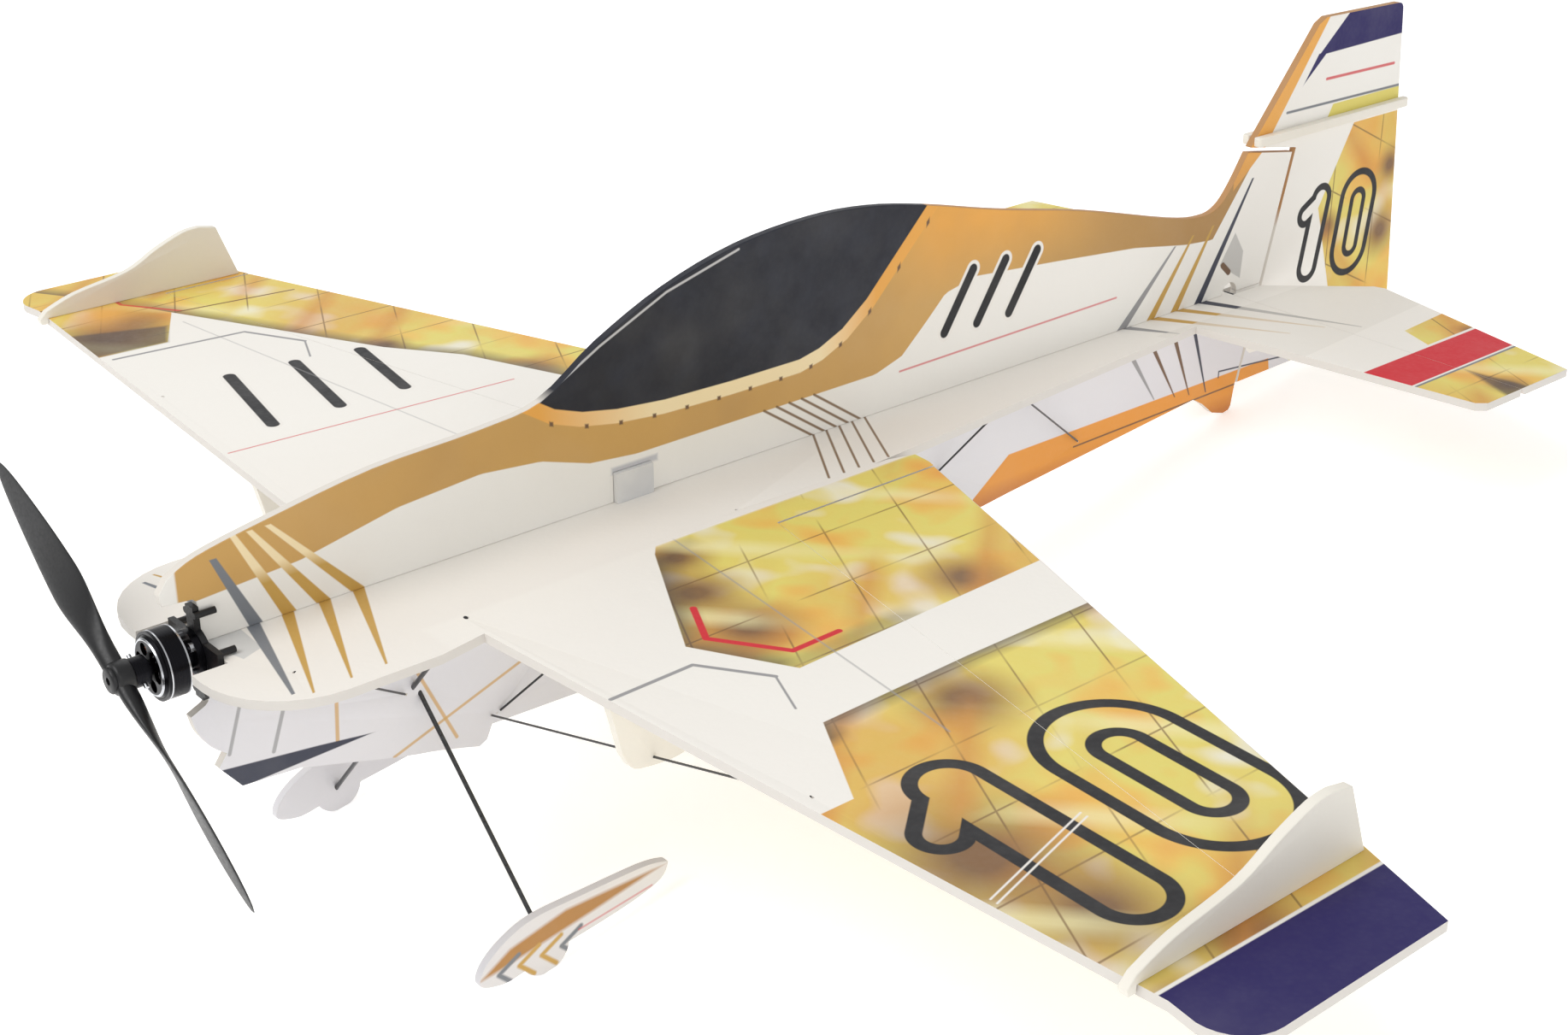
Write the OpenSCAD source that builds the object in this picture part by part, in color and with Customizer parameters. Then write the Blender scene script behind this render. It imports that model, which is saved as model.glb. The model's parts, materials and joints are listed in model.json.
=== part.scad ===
/* [Foam sheet] */
// Thickness of every foam sheet
foam_t = 4; // [3:0.5:5]
// Gap at the ends of a moving foam surface
surface_gap = 0.8; // [0.5:0.1:1.5]
// Gap along a hinge line
hinge_gap = 0.15; // [0.1:0.05:0.3]

/* [Wing] */
// Wing span, tip to tip
span = 840; // [690:1:1000]
// Half width of the fuselage plate where the wing joins
root_x = 45; // [38:0.5:52]
// Leading edge of the wing at the root, aft of the propeller
root_le = 115; // [108:1:118]
// Trailing edge of the wing at the root
root_te = 366; // [340:1:380]
// Leading edge of the wing at the tip
tip_le = 143; // [135:1:150]
// Trailing edge of the wing at the tip
tip_te = 238; // [225:1:250]
// Radius of the leading corner of the tip
tip_r = 18; // [8:1:24]
// Width of the spar strip
spar_w = 1; // [0.6:0.1:2]
// Height of the spar strip
spar_h = 2.4; // [1.5:0.1:2.6]
// Gap from the end of the spar to the wing tip
spar_gap = 90; // [60:1:120]

/* [Ailerons] */
// Inner end of the aileron
aileron_in = 64; // [60:1:90]
// Gap from the outer end of the aileron to the wing tip
aileron_gap = 49; // [48:1:120]
// Chord of the aileron at its inner end
aileron_chord_in = 92; // [70:1:110]
// Chord of the aileron at its outer end
aileron_chord_out = 50; // [40:1:60]

/* [Wing fences] */
// Distance of the wing fence from the wing tip
fence_gap = 43; // [25:1:45]
// Height of the wing fence
fence_h = 31; // [20:1:40]
// Distance of the strut web from the centre line
web_x = 133; // [110:1:150]
// Depth of the strut web under the wing
web_h = 34; // [24:1:40]

/* [Fuselage] */
// Front edge of the foam, aft of the propeller
nose_y = 15; // [14:0.5:18]
// Half width of the nose plate
nose_x = 70; // [55:1:80]
// Radius of the corners of the nose plate
nose_r = 40; // [20:1:48]
// Depth of the recess for the motor, aft of the propeller
firewall_y = 30; // [29:0.5:34]
// Half width of the recess for the motor
recess_r = 23; // [21:0.5:26]
// Height of the canopy
canopy_h = 105; // [85:1:125]
// Depth of the belly
belly_h = 93; // [88:1:100]

/* [Tail] */
// Half span of the tailplane
tail_x = 183; // [150:1:210]
// Root leading edge of the tailplane
tail_le = 587; // [570:1:595]
// Hinge line of the elevator
elevator_y = 640; // [632:1:642]
// Trailing edge of the elevator at its tip
elevator_te = 680; // [670:1:700]
// Hinge of the rudder where it crosses the plate
rudder_y = 666; // [662:1:670]
// Height of the fin top
fin_h = 140; // [125:1:160]
// Trailing edge of the rudder at the plate
rudder_te = 785; // [750:1:800]
// Diameter of the elevator joiner rod
joiner_d = 1.5; // [1:0.1:2]

/* [Undercarriage] */
// Distance of the wheel pants from the centre line
pant_x = 82; // [70:1:100]
// Depth of the axle point under the top of the wing
axle_h = 142; // [130:1:160]
// Axle point, aft of the propeller
axle_y = 125; // [122:1:130]
// Radius of the round bottom of the wheel pants
pant_r = 12; // [9:0.5:14]
// Diameter of the leg rods
leg_d = 2; // [1.5:0.1:2.5]
// Diameter of the brace rods
brace_d = 1; // [0.8:0.1:1.5]

/* [Propulsion] */
// Diameter of the propeller
prop_d = 215.9; // [150:0.1:229]
// Diameter of the motor bell
bell_d = 28; // [24:0.1:30]
// Length of the motor bell
bell_l = 11; // [9:0.5:12]
// Diameter of the motor shaft
shaft_d = 3; // [2:0.1:4]
// Drop of the thrust line under the top of the wing
thrust_drop = 4; // [2:0.5:6]
// Pitch circle of the motor screws
mount_pcd = 16; // [14:0.5:19]
// Diameter of the holes for the motor screws
mount_hole_d = 2.1; // [2:0.1:2.4]
// Running clearance on the radius of shafts and pins
run_gap = 0.05; // [0.03:0.01:0.1]

/* [Radio gear] */
// Length of a servo case
servo_l = 20; // [18:0.1:22]
// Width of a servo case
servo_w = 8.5; // [8:0.1:9]
// Height of a servo case
servo_h = 18; // [15:0.1:20]
// Throw radius of the tail servo arms and of the tail horns
arm_r = 12; // [10:0.5:13]
// Throw radius of the aileron servo arm
aileron_arm_r = 9; // [8:0.5:10]
// Diameter of the push rods
rod_d = 1; // [0.8:0.1:1.2]
// Length of the battery
battery_l = 52; // [40:1:58]
// Height of the battery
battery_h = 28; // [20:1:30]
// Thickness of the battery
battery_t = 12; // [8:1:14]

/* [Hidden] */

half_t = foam_t / 2;
under_z = -foam_t;
mid_z = -half_t;
carbon = [0.12, 0.12, 0.13];
nylon = [0.9, 0.9, 0.88];
round_fn = 48;

// wing lines
wing_x = span / 2;
aileron_out = wing_x - aileron_gap;
fence_x = wing_x - fence_gap;
function le_at(x) = root_le + (tip_le - root_le) * (x - root_x) / (wing_x - root_x);
function te_at(x) = root_te + (tip_te - root_te) * (x - root_x) / (wing_x - root_x);
hinge_in = te_at(aileron_in) - aileron_chord_in;
hinge_out = te_at(aileron_out) - aileron_chord_out;
function hinge_at(x) = hinge_in + (hinge_out - hinge_in) * (x - aileron_in) / (aileron_out - aileron_in);
hinge_turn = atan2(hinge_out - hinge_in, aileron_out - aileron_in);
hinge_len = norm([aileron_out - aileron_in, hinge_out - hinge_in]);
root_corner = 14;
spar_from = servo_w / 2 + 2;
spar_y = 229;
spar_turn = -6.8;

// plate and tail lines
taper_y = 340;
taper_x = 24;
tail_tip_le = tail_le + 21;
elevator_in = half_t + 2.5;
notch_y = rudder_y - 2;
notch_out = 52;
notch_te = elevator_te + 0.235 * (tail_x - notch_out);
joiner_back = 4.2;
joiner_len = 60;
joiner_slot_r = norm([joiner_back, half_t]) + joiner_d / 2 + 0.6;

// rudder lines: its hinge leans aft
rudder_lean = 0.257;
function rudder_hinge(z) = rudder_y + rudder_lean * z;
slot_z = 70.5;
slot_rise = 6.5;
slot_w = 2.2;
slot_le_y = rudder_y - 19;
rudder_foot = -55;
rudder_top_y = rudder_te - 14;
strip_z = 82;
strip_t = 5;
strip_out = 4.5;
strip_te = rudder_te - 5;

// ground line under the two pants and the skid
skid_y = 645;
skid_z = -66;
skid_r = 5;
foot_flat = 0.5;
ground_run = norm([skid_y - axle_y, skid_z + axle_h]);
pitch = asin((pant_r - skid_r) / ground_run) + atan2(skid_z + axle_h, skid_y - axle_y);
stand_h = sin(pitch) * axle_y + cos(pitch) * axle_h + pant_r - foot_flat;

// motor stations along the thrust line
thrust_z = -thrust_drop;
hub_front = -8;
hub_mid = 1;
hub_back = 7;
hub_r = 6.6;
bell_y = 8.5;
bell_wall = 1.2;
magnet_t = 1.2;
air_gap = 0.4;
magnet_r = bell_d / 2 - bell_wall - magnet_t;
stator_r = magnet_r - air_gap;
tube_r = 4.4;
bearing_r = 3.5;
mount_t = 2.6;
mount_y = firewall_y - mount_t;
base_y = bell_y + bell_l + 0.8;
base_r = mount_pcd / 2 + 2.2;
flange_y = mount_y - 3;
mount_arm = 20;
mount_arm_w = 6;
side_arm_w = 14;
blade_turn = 32.4;
blade_y = -3.2;

// rods: the legs cross in the lower profile and end in the wing roots
cross_y = 120;
cross_z = -54;
foot_x = pant_x - half_t / 4;
foot_z = -axle_h - 1;
leg_shift = 1.4;
belly_y = 158;
belly_z = -80;
wing_dot = [236, 135];
plate_dot = [42, 262];
rear_y = 423;
rear_z = -42;
rear_dot = [31, 441];
truss_y = 524;
truss_z = -54;
truss_dot = [25, 452];
stay_dot = [45, 46];
rod_start = half_t + 0.7;

// radio gear
ear_l = 3;
ear_t = 1.4;
boss_h = 2;
spline_d = 3.8;
shaft_in = 5;
arm_t = 1.4;
arm_w = 4.4;
arm_gap = 0.3;
arm_hub_d = 6.4;
pin_d = 0.9;
pin_over = 0.6;
rod_side = 0.2;
horn_t = 1;
arm_lift = boss_h + arm_gap;
rod_lift = arm_lift + arm_t + rod_side + rod_d / 2;

ail_servo_y = 232;
ail_case_z = under_z;
ail_rod_z = ail_case_z - rod_lift;
ail_horn_x = aileron_in + 3;
ail_horn_y = hinge_at(ail_horn_x);
ail_swing = atan2(ail_horn_y - ail_servo_y, ail_horn_x) - 90;
ail_pin = [aileron_arm_r * cos(ail_swing), ail_servo_y + aileron_arm_r * sin(ail_swing), ail_rod_z];
ail_hole_d = 3.6;

elev_servo_y = 336;
elev_servo_z = -38;
elev_case_x = -5;
elev_rod_x = elev_case_x - rod_lift;
elev_hole_d = 1.4;

rud_servo_y = 398;
rud_servo_x = -half_t - servo_w / 2;
rud_case_z = -33;
rud_rod_z = rud_case_z - rod_lift;
rud_horn_y = rudder_hinge(rud_rod_z);
rud_hole_d = 2.6;
rud_side = 2.8;
rud_reach = rod_d / 2 + 2 * rud_side + horn_t;

controller_y = 64;
controller_z = -36;
receiver_y = 284;
receiver_z = -34;
pad_t = 1.2;
pad_inset = 5;
battery_y = 168;
battery_z = -8 - battery_h;

// a smooth line through a few points
function smooth(p, n = 4) = [
  for (i = [0 : len(p) - 2]) let (
    a = p[max(i - 1, 0)], b = p[i], c = p[i + 1], d = p[min(i + 2, len(p) - 1)])
  for (k = [0 : n - 1]) let (t = k / n)
    0.5 * (2 * b + (c - a) * t + (2 * a - 5 * b + 4 * c - d) * t * t + (3 * b - a - 3 * c + d) * t * t * t),
  p[len(p) - 1]];
function arc(c, r, from, to, n = 8) = [
  for (k = [0 : n]) let (a = from + (to - from) * k / n) c + r * [cos(a), sin(a)]];
function mirror_x(p) = [for (i = [len(p) - 1 : -1 : 0]) [-p[i][0], p[i][1]]];
function side(s) = s < 0 ? 1 : 0;

// the aircraft stands on its pants and skid, centred over the ground
front_y = cos(pitch) * (blade_y - 0.75) - sin(pitch) * (thrust_drop + prop_d / 2 * sin(blade_turn));
back_y = cos(pitch) * strip_te + sin(pitch) * (strip_z + strip_t / 2);
module stance() translate([0, -(front_y + back_y) / 2, stand_h]) rotate([-pitch, 0, 0]) children();
// everything under the ground, to flatten what stands on it
module ground() rotate([pitch, 0, 0]) translate([-500, -500, -stand_h - 100]) cube([1000, 2000, 100]);

// a flat sheet, drawn in x and y, under height z
module sheet(points, z = 0, t = foam_t) translate([0, 0, z - t]) linear_extrude(t) polygon(points);
// an upright sheet, drawn in y and z
module upright(points, x = 0, t = foam_t)
  translate([x - t / 2, 0, 0]) rotate([90, 0, 90]) linear_extrude(t) polygon(points);
// a cylinder along the thrust line
module axial(y, l, r, fn = round_fn) translate([0, y, thrust_z]) rotate([-90, 0, 0]) cylinder(r = r, h = l, $fn = fn);
// a round rod from a to b
module rod(a, b, d) {
  v = b - a;
  translate(a) rotate([0, acos(v[2] / norm(v)), atan2(v[1], v[0])]) cylinder(d = d, h = norm(v), $fn = 24);
}
module rod_bore(l, d, over) {
  u = (l[1] - l[0]) / norm(l[1] - l[0]);
  rod(l[0] - over * u, l[1] + over * u, d + 2 * run_gap);
}

// -- rod lines, from the low end to the dot on top of the plate or wing
function leg_line(s) = let (rise = (foot_z - cross_z) / foot_x) [
  [s * foot_x, axle_y + 1 + s * leg_shift, foot_z],
  [s * (0.5 - cross_z) / rise, cross_y + s * leg_shift, -0.5]];
function rod_to(s, y, z, dot) = [[s * rod_start, y, z], [s * dot[0], dot[1], -0.5]];
function stay_line(s) = rod_to(s, cross_y - 4, cross_z, stay_dot);
function wing_line(s) = rod_to(s, belly_y, belly_z, wing_dot);
function plate_line(s) = rod_to(s, belly_y + 4, belly_z + 1, plate_dot);
function rear_line(s) = rod_to(s, rear_y, rear_z, rear_dot);
function truss_line(s) = rod_to(s, truss_y, truss_z, truss_dot);
module line_rod(l, d) rod(l[0], l[1], d);
module rod_bores() for (s = [-1, 1]) {
  rod_bore(leg_line(s), leg_d, 3);
  for (l = [stay_line(s), wing_line(s), plate_line(s), rear_line(s), truss_line(s)]) rod_bore(l, brace_d, 2);
}

// -- foam: the horizontal plate, nose to tailplane
plate_half = concat(
  [[0, firewall_y], [recess_r, firewall_y], [recess_r, nose_y]],
  arc([nose_x - nose_r, nose_y + nose_r], nose_r, -90, 0),
  [[nose_x, root_le - 20], [nose_x - 4, le_at(nose_x - 4)], [root_x, root_le], [root_x, taper_y],
   [taper_x, tail_le], [tail_x - 4, tail_tip_le - 0.6], [tail_x, tail_tip_le + 4],
   [tail_x, elevator_y - hinge_gap], [0, elevator_y - hinge_gap]]);
module spar_strip() translate([0, spar_y, mid_z]) rotate([0, 0, spar_turn])
  translate([spar_from, -spar_w / 2, -spar_h / 2]) cube([wing_x - spar_gap - spar_from, spar_w, spar_h]);
module aileron_servo_slot() translate([-servo_w / 2 - 0.1, ail_servo_y - shaft_in - 0.1, ail_case_z - 0.1])
  cube([servo_w + 0.2, servo_l + 0.2, servo_h + 0.2]);
module joiner_slot() translate([-foam_t, elevator_y, 0]) rotate([0, 90, 0])
  cylinder(r = joiner_slot_r, h = 2 * foam_t, $fn = round_fn);
module fuselage_plate() stance() color("whitesmoke") difference() {
  sheet(concat(plate_half, mirror_x(plate_half)));
  rod_bores();
  for (s = [-1, 1]) mirror([side(s), 0, 0]) spar_strip();
  aileron_servo_slot();
}

// -- foam: upper profile with canopy, spine and fin
upper_points = concat(
  [[firewall_y, 0], [firewall_y, recess_r - thrust_drop - 1.5], [firewall_y - 1.5, recess_r - thrust_drop],
   [nose_y + 1, recess_r - thrust_drop + 1], [nose_y, recess_r - thrust_drop + 6]],
  smooth([[nose_y + 4, 30.5], [32, 36.5], [62, 42.5], [110, 50], [160, 52.5], [192, 57], [222, 75],
    [258, 91], [298, canopy_h - 3.5], [340, canopy_h], [375, canopy_h - 2], [412, canopy_h - 9], [460, 84],
    [520, 71], [587, 53], [612, 49], [625, 51.5], [635, 61], [slot_le_y - 1, slot_z + slot_rise]]),
  [[rudder_hinge(slot_z) - hinge_gap, slot_z], [rudder_hinge(0) - hinge_gap, 0]]);
module upper_profile() stance() color("goldenrod") difference() {
  upright(upper_points);
  aileron_servo_slot();
  joiner_slot();
}

// -- foam: lower profile with chin, belly and tail skid
lower_points = concat(
  [[firewall_y, under_z], [firewall_y, 1.5 - recess_r - thrust_drop], [firewall_y - 1.5, -recess_r - thrust_drop]],
  smooth([[nose_y + 7, -30], [nose_y + 9, -38], [nose_y + 14, -46], [nose_y + 20, -51]], 3),
  [[nose_y + 16, -56.5], [nose_y + 25, -68]],
  smooth([[66, -70], [112, -83], [132, 5.5 - belly_h], [151, -belly_h]], 3),
  [[155, 2 - belly_h], [158, -84.5], [209, -86], [456, -71], [474, -69], [617, -55.8]],
  smooth([[625, -60.5], [634, skid_z - 2]], 3),
  arc([skid_y, skid_z], skid_r, -110, 0, 7),
  [[rudder_hinge(rudder_foot) - hinge_gap, rudder_foot - 0.5], [rudder_hinge(0) - hinge_gap, 0],
   [elevator_y - hinge_gap, 0], [elevator_y - hinge_gap, under_z]]);
module lower_profile() stance() color("gainsboro") difference() {
  upright(lower_points);
  rod_bores();
  aileron_servo_slot();
  joiner_slot();
  // room for the aileron arm and its two rods
  translate([-foam_t, ail_servo_y - aileron_arm_r - 3, ail_rod_z - 3])
    cube([2 * foam_t, 2 * aileron_arm_r, ail_case_z - ail_rod_z + 3]);
  translate([-foam_t, elev_servo_y - shaft_in - 0.1, elev_servo_z - servo_w / 2 - 0.1])
    cube([2 * foam_t, servo_l + 0.2, servo_w + 0.2]);
  ground();
}

// -- foam: wing halves
wing_points = concat(
  [[root_x, root_le], [wing_x - tip_r - 12, le_at(wing_x - tip_r - 12)]],
  arc([wing_x - tip_r, tip_le + tip_r - 4], tip_r, -90, 0),
  [[wing_x, tip_te], [aileron_out + surface_gap, te_at(aileron_out + surface_gap)],
   [aileron_out + surface_gap, hinge_at(aileron_out + surface_gap) - hinge_gap],
   [aileron_in - surface_gap, hinge_at(aileron_in - surface_gap) - hinge_gap],
   [aileron_in - surface_gap, te_at(aileron_in - surface_gap)],
   [root_x + root_corner, te_at(root_x + root_corner)], [root_x + 4, root_te - 4], [root_x, taper_y + 8]]);
module wing(s) stance() color("khaki") difference() {
  mirror([side(s), 0, 0]) difference() {
    sheet(wing_points);
    spar_strip();
  }
  rod_bores();
}
module wing_port() wing(1);
module wing_starboard() wing(-1);

// the wedge that lets a sheet hinged at its top edge swing down
module bevel(l) translate([-20, 0, 0]) rotate([90, 0, 90]) linear_extrude(l + 40)
  polygon([[-3, 1], [-3, -foam_t - 1], [foam_t + 1, -foam_t - 1], [0, 0]]);

// -- foam: ailerons
module aileron(s) stance() color("gold") mirror([side(s), 0, 0]) difference() {
  sheet([[aileron_in, hinge_in], [aileron_out, hinge_out], [aileron_out, te_at(aileron_out)],
    [aileron_in, te_at(aileron_in)]]);
  translate([aileron_in, hinge_in, 0]) rotate([0, 0, hinge_turn]) bevel(hinge_len);
}
module aileron_port() aileron(1);
module aileron_starboard() aileron(-1);

// -- foam: wing fences, hooked over the leading edge, and strut webs
fence_le = le_at(fence_x);
fence_points = concat(
  [[fence_le - 4, -3], [fence_le - 5, 0]],
  smooth([[fence_le - 1, 4], [fence_le + 16, 10], [fence_le + 46, 15.5], [fence_le + 64, 24],
    [fence_le + 80, fence_h - 1], [fence_le + 90, fence_h]]),
  [[te_at(fence_x) - 13, fence_h - 2], [te_at(fence_x) - 2, 0], [fence_le - 0.3, 0], [fence_le - 0.3, -3]]);
module wing_fence(s) stance() color("ivory") upright(fence_points, s * fence_x);
module wing_fence_port() wing_fence(1);
module wing_fence_starboard() wing_fence(-1);

web_le = le_at(web_x);
web_low = under_z - web_h;
web_points = concat([[web_le + 3, under_z], [web_le + 9, web_low + 9]],
  smooth([[web_le + 11, web_low + 5], [web_le + 17, web_low + 0.5], [web_le + 40, web_low],
    [web_le + 66, web_low + 14]]),
  [[web_le + 88, under_z]]);
module strut_web(s) stance() color("gainsboro") difference() {
  upright(web_points, s * web_x);
  rod_bores();
}
module strut_web_port() strut_web(1);
module strut_web_starboard() strut_web(-1);

// -- foam: elevator halves on one joiner
elevator_points = [[elevator_in, elevator_y], [tail_x, elevator_y], [tail_x, elevator_te],
  [notch_out, notch_te], [notch_out - 6, notch_te - 2], [elevator_in + 1, notch_y], [elevator_in, notch_y - 2]];
module joiner(d) translate([-joiner_len / 2, elevator_y + joiner_back, mid_z]) rotate([0, 90, 0])
  cylinder(d = d, h = joiner_len, $fn = 24);
module elevator(s) stance() color("khaki") mirror([side(s), 0, 0]) difference() {
  sheet(elevator_points);
  translate([0, elevator_y, 0]) bevel(tail_x);
  joiner(joiner_d);
}
module elevator_port() elevator(1);
module elevator_starboard() elevator(-1);
module elevator_joiner() stance() color(carbon) joiner(joiner_d);

// -- foam: rudder with its horn balance ahead of the hinge, and the strips on its sides
rudder_points = concat(
  [[rudder_hinge(rudder_foot), rudder_foot], [rudder_hinge(slot_z + slot_w), slot_z + slot_w],
   [slot_le_y + 1, slot_z + slot_rise + slot_w], [slot_le_y + 50, fin_h - 3], [slot_le_y + 56, fin_h]],
  arc([rudder_top_y - 4, fin_h - 5.5], 4, 90, 0, 4),
  [[rudder_te + 2, -34], [rudder_te - 6, -41], [rudder_te - 80, rudder_foot + 1]]);
// both front corners go, so that the sheet swings to either side
module rudder_bevel() translate([0, rudder_hinge(slot_z + slot_w), slot_z + slot_w])
  rotate([-atan(rudder_lean), 0, 0]) translate([0, 0, -220]) linear_extrude(220)
  polygon([[-4, -1], [4, -1], [4, 4], [0, 0], [-4, 4]]);
module rudder() stance() color("gold") difference() {
  upright(rudder_points);
  rudder_bevel();
}
module rudder_strips() stance() color("ivory") for (s = [0, 1]) mirror([s, 0, 0])
  translate([half_t, 0, strip_z - strip_t / 2]) linear_extrude(strip_t)
  polygon(concat([[0, slot_le_y + 3]], arc([strip_out - 2, slot_le_y + 5], 2, -90, 0, 3),
    arc([strip_out - 2, strip_te - 2], 2, 0, 90, 3), [[0, strip_te]]));

// -- carbon: spar halves in the plate and wings
module spar(s) stance() color(carbon) mirror([side(s), 0, 0]) spar_strip();
module spar_port() spar(1);
module spar_starboard() spar(-1);

// -- foam: wheel pants
pant_points = concat(smooth([[axle_y + 10, -axle_h - 2], [axle_y + 32, 1 - axle_h], [axle_y + 48, 4 - axle_h],
    [axle_y + 60, 8 - axle_h], [axle_y + 64, 14 - axle_h], [axle_y + 62, 16 - axle_h], [axle_y + 50, 18 - axle_h],
    [axle_y + 20, 18 - axle_h], [axle_y - 4, 17.5 - axle_h], [axle_y - 18, 13 - axle_h], [axle_y - 28, 6 - axle_h],
    [axle_y - 32, -1 - axle_h], [axle_y - 30, -5 - axle_h], [axle_y - 20, -7.5 - axle_h],
    [axle_y - 10, -6 - axle_h]]));
module wheel_pant(s) stance() color("whitesmoke") difference() {
  union() {
    upright(pant_points, s * pant_x);
    translate([s * pant_x - half_t, axle_y, -axle_h]) rotate([0, 90, 0]) cylinder(r = pant_r, h = foam_t, $fn = 64);
  }
  ground();
  // the leg ends in a blind hole
  rod_bore(leg_line(s), leg_d, run_gap);
}
module wheel_pant_port() wheel_pant(1);
module wheel_pant_starboard() wheel_pant(-1);

// -- carbon: undercarriage and bracing
module leg(s) stance() color(carbon) line_rod(leg_line(s), leg_d);
module leg_port() leg(1);
module leg_starboard() leg(-1);
module leg_stays() stance() color(carbon) for (s = [-1, 1]) line_rod(stay_line(s), brace_d);
module wing_braces() stance() color(carbon) for (s = [-1, 1]) line_rod(wing_line(s), brace_d);
module plate_braces() stance() color(carbon) for (s = [-1, 1]) line_rod(plate_line(s), brace_d);
module tail_braces() stance() color(carbon) for (s = [-1, 1]) {
  line_rod(rear_line(s), brace_d);
  line_rod(truss_line(s), brace_d);
}

// -- motor mount: a cross with pegs that straddle the foam sheets
module at_screws() for (a = [45 : 90 : 315])
  translate([mount_pcd / 2 * cos(a), 0, mount_pcd / 2 * sin(a)]) children();
module mount_pegs() for (s = [-1, 1], t = [-1, 1]) {
  translate([s * (half_t + 1.6), 0, t * (mount_arm - 3)]) axial(mount_y, 9, 1.4, 24);
  translate([t * (mount_arm - 3), 0, s * (half_t + 1.6) + mid_z - thrust_z]) axial(mount_y, 9, 1.4, 24);
}
module motor_mount() stance() color("black") {
  difference() {
    union() {
      axial(mount_y, mount_t, base_r + 0.6);
      translate([-mount_arm_w / 2, mount_y, thrust_z - mount_arm]) cube([mount_arm_w, mount_t, 2 * mount_arm]);
      translate([-mount_arm, mount_y, thrust_z - side_arm_w / 2]) cube([2 * mount_arm, mount_t, side_arm_w]);
    }
    axial(mount_y - 1, mount_t + 2, tube_r);
    at_screws() axial(mount_y - 1, mount_t + 2, mount_hole_d / 2, 24);
  }
  mount_pegs();
}
module motor_screws() stance() color("silver") at_screws() {
  axial(flange_y, mount_y + mount_t - flange_y - 0.2, mount_hole_d / 2 - run_gap, 24);
  difference() {
    axial(flange_y - 1.5, 1.5, 1.9, 24);
    axial(flange_y - 2.5, 1.7, 0.8, 6);
  }
}
module motor_base() stance() color("dimgray") difference() {
  union() {
    axial(flange_y, mount_y - flange_y, base_r);
    axial(base_y, mount_y - base_y, tube_r + 1.2);
    axial(bell_y + 3, mount_y - bell_y - 3, tube_r);
  }
  axial(bell_y, mount_y - bell_y + 1, bearing_r);
  at_screws() axial(flange_y - 1, mount_t + 6, mount_hole_d / 2 - run_gap, 24);
}
module ring(y, l, r, hole) difference() {
  axial(y, l, r);
  axial(y - 1, l + 2, hole);
}
module motor_bearings() stance() color("silver") for (y = [bell_y + 3, mount_y - 3])
  ring(y, 3, bearing_r, shaft_d / 2 + run_gap);
teeth = 12;
module motor_stator() stance() color("gray") difference() {
  union() {
    axial(bell_y + 4, 6, tube_r + 1.6);
    for (i = [1 : teeth]) translate([0, 0, thrust_z]) rotate([0, i * 360 / teeth, 0]) {
      translate([tube_r + 0.7, bell_y + 4, -0.6]) cube([stator_r - tube_r - 1.6, 6, 1.2]);
      translate([stator_r - 1.4, bell_y + 4, -1.9]) cube([0.9, 6, 3.8]);
    }
  }
  axial(bell_y + 3, 8, tube_r);
}
module motor_windings() stance() color("chocolate") for (i = [1 : teeth])
  translate([0, 0, thrust_z]) rotate([0, i * 360 / teeth, 0]) difference() {
    translate([tube_r + 2.4, bell_y + 3.2, -1.25]) cube([stator_r - tube_r - 4, 7.6, 2.5]);
    translate([tube_r + 2, bell_y + 4, -0.6]) cube([stator_r - tube_r, 6, 1.2]);
  }

// -- the parts that spin
module motor_bell() stance() color("black") difference() {
  union() {
    ring(bell_y + 1.6, bell_l - 1.6, bell_d / 2, bell_d / 2 - bell_wall);
    translate([0, bell_y + 3, thrust_z]) rotate([90, 0, 0])
      cylinder(r1 = bell_d / 2, r2 = bell_d / 2 - 3, h = 3, $fn = 64);
    axial(bell_y - 1.5, 2, 3.2);
  }
  translate([0, bell_y + 3.1, thrust_z]) rotate([90, 0, 0])
    cylinder(r1 = bell_d / 2 - bell_wall, r2 = bell_d / 2 - bell_wall - 1.6, h = 1.6, $fn = 64);
  axial(bell_y - 3, 6, shaft_d / 2);
  for (i = [0 : 5]) translate([0, 0, thrust_z]) rotate([0, i * 60 + 10, 0]) translate([7.4, bell_y - 1, 0])
    rotate([-90, 0, 0]) cylinder(r = 2.7, h = 4, $fn = 32);
}
magnets = 14;
module motor_magnets() stance() color("silver") intersection() {
  ring(bell_y + 4, bell_l - 4.4, magnet_r + magnet_t, magnet_r);
  for (i = [1 : magnets]) translate([0, 0, thrust_z]) rotate([0, i * 360 / magnets, 0])
    translate([magnet_r - 1, bell_y + 3, -2.3]) cube([4, bell_l, 4.6]);
}
module motor_shaft() stance() color("silver") axial(hub_front + 2, mount_y - hub_front - 3, shaft_d / 2);
// blade sections: chord, pitch and thickness change from root to tip
blade_from = 5;
blade_rings = 12;
blade_sides = 10;
blade_pitch = 96;
blade_root = 8;
function blade_grow(u) = let (g = max(0, min(1, (u - 0.02) / 0.4))) g * g * (3 - 2 * g);
function blade_chord(u) = blade_root + blade_grow(u) * (13 * sin(180 * pow(u, 0.85)) - 0.5);
function blade_ring(i) = let (u = min(0.995, i / blade_rings), r = blade_from + u * (prop_d / 2 - blade_from),
    c = blade_chord(u) * sqrt(1 - pow(u, 16)) + 0.6, t = 1.6 + 2.6 * (1 - u) * (1 - u),
    a = min(62, atan(blade_pitch / (2 * PI * max(r, 9)))))
  [for (k = [0 : blade_sides - 1]) let (w = 360 * k / blade_sides, p = c / 2 * cos(w), q = t / 2 * sin(w))
    [p * cos(a) - q * sin(a), p * sin(a) + q * cos(a), r]];
blade_points = [for (i = [0 : blade_rings]) each blade_ring(i)];
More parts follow.
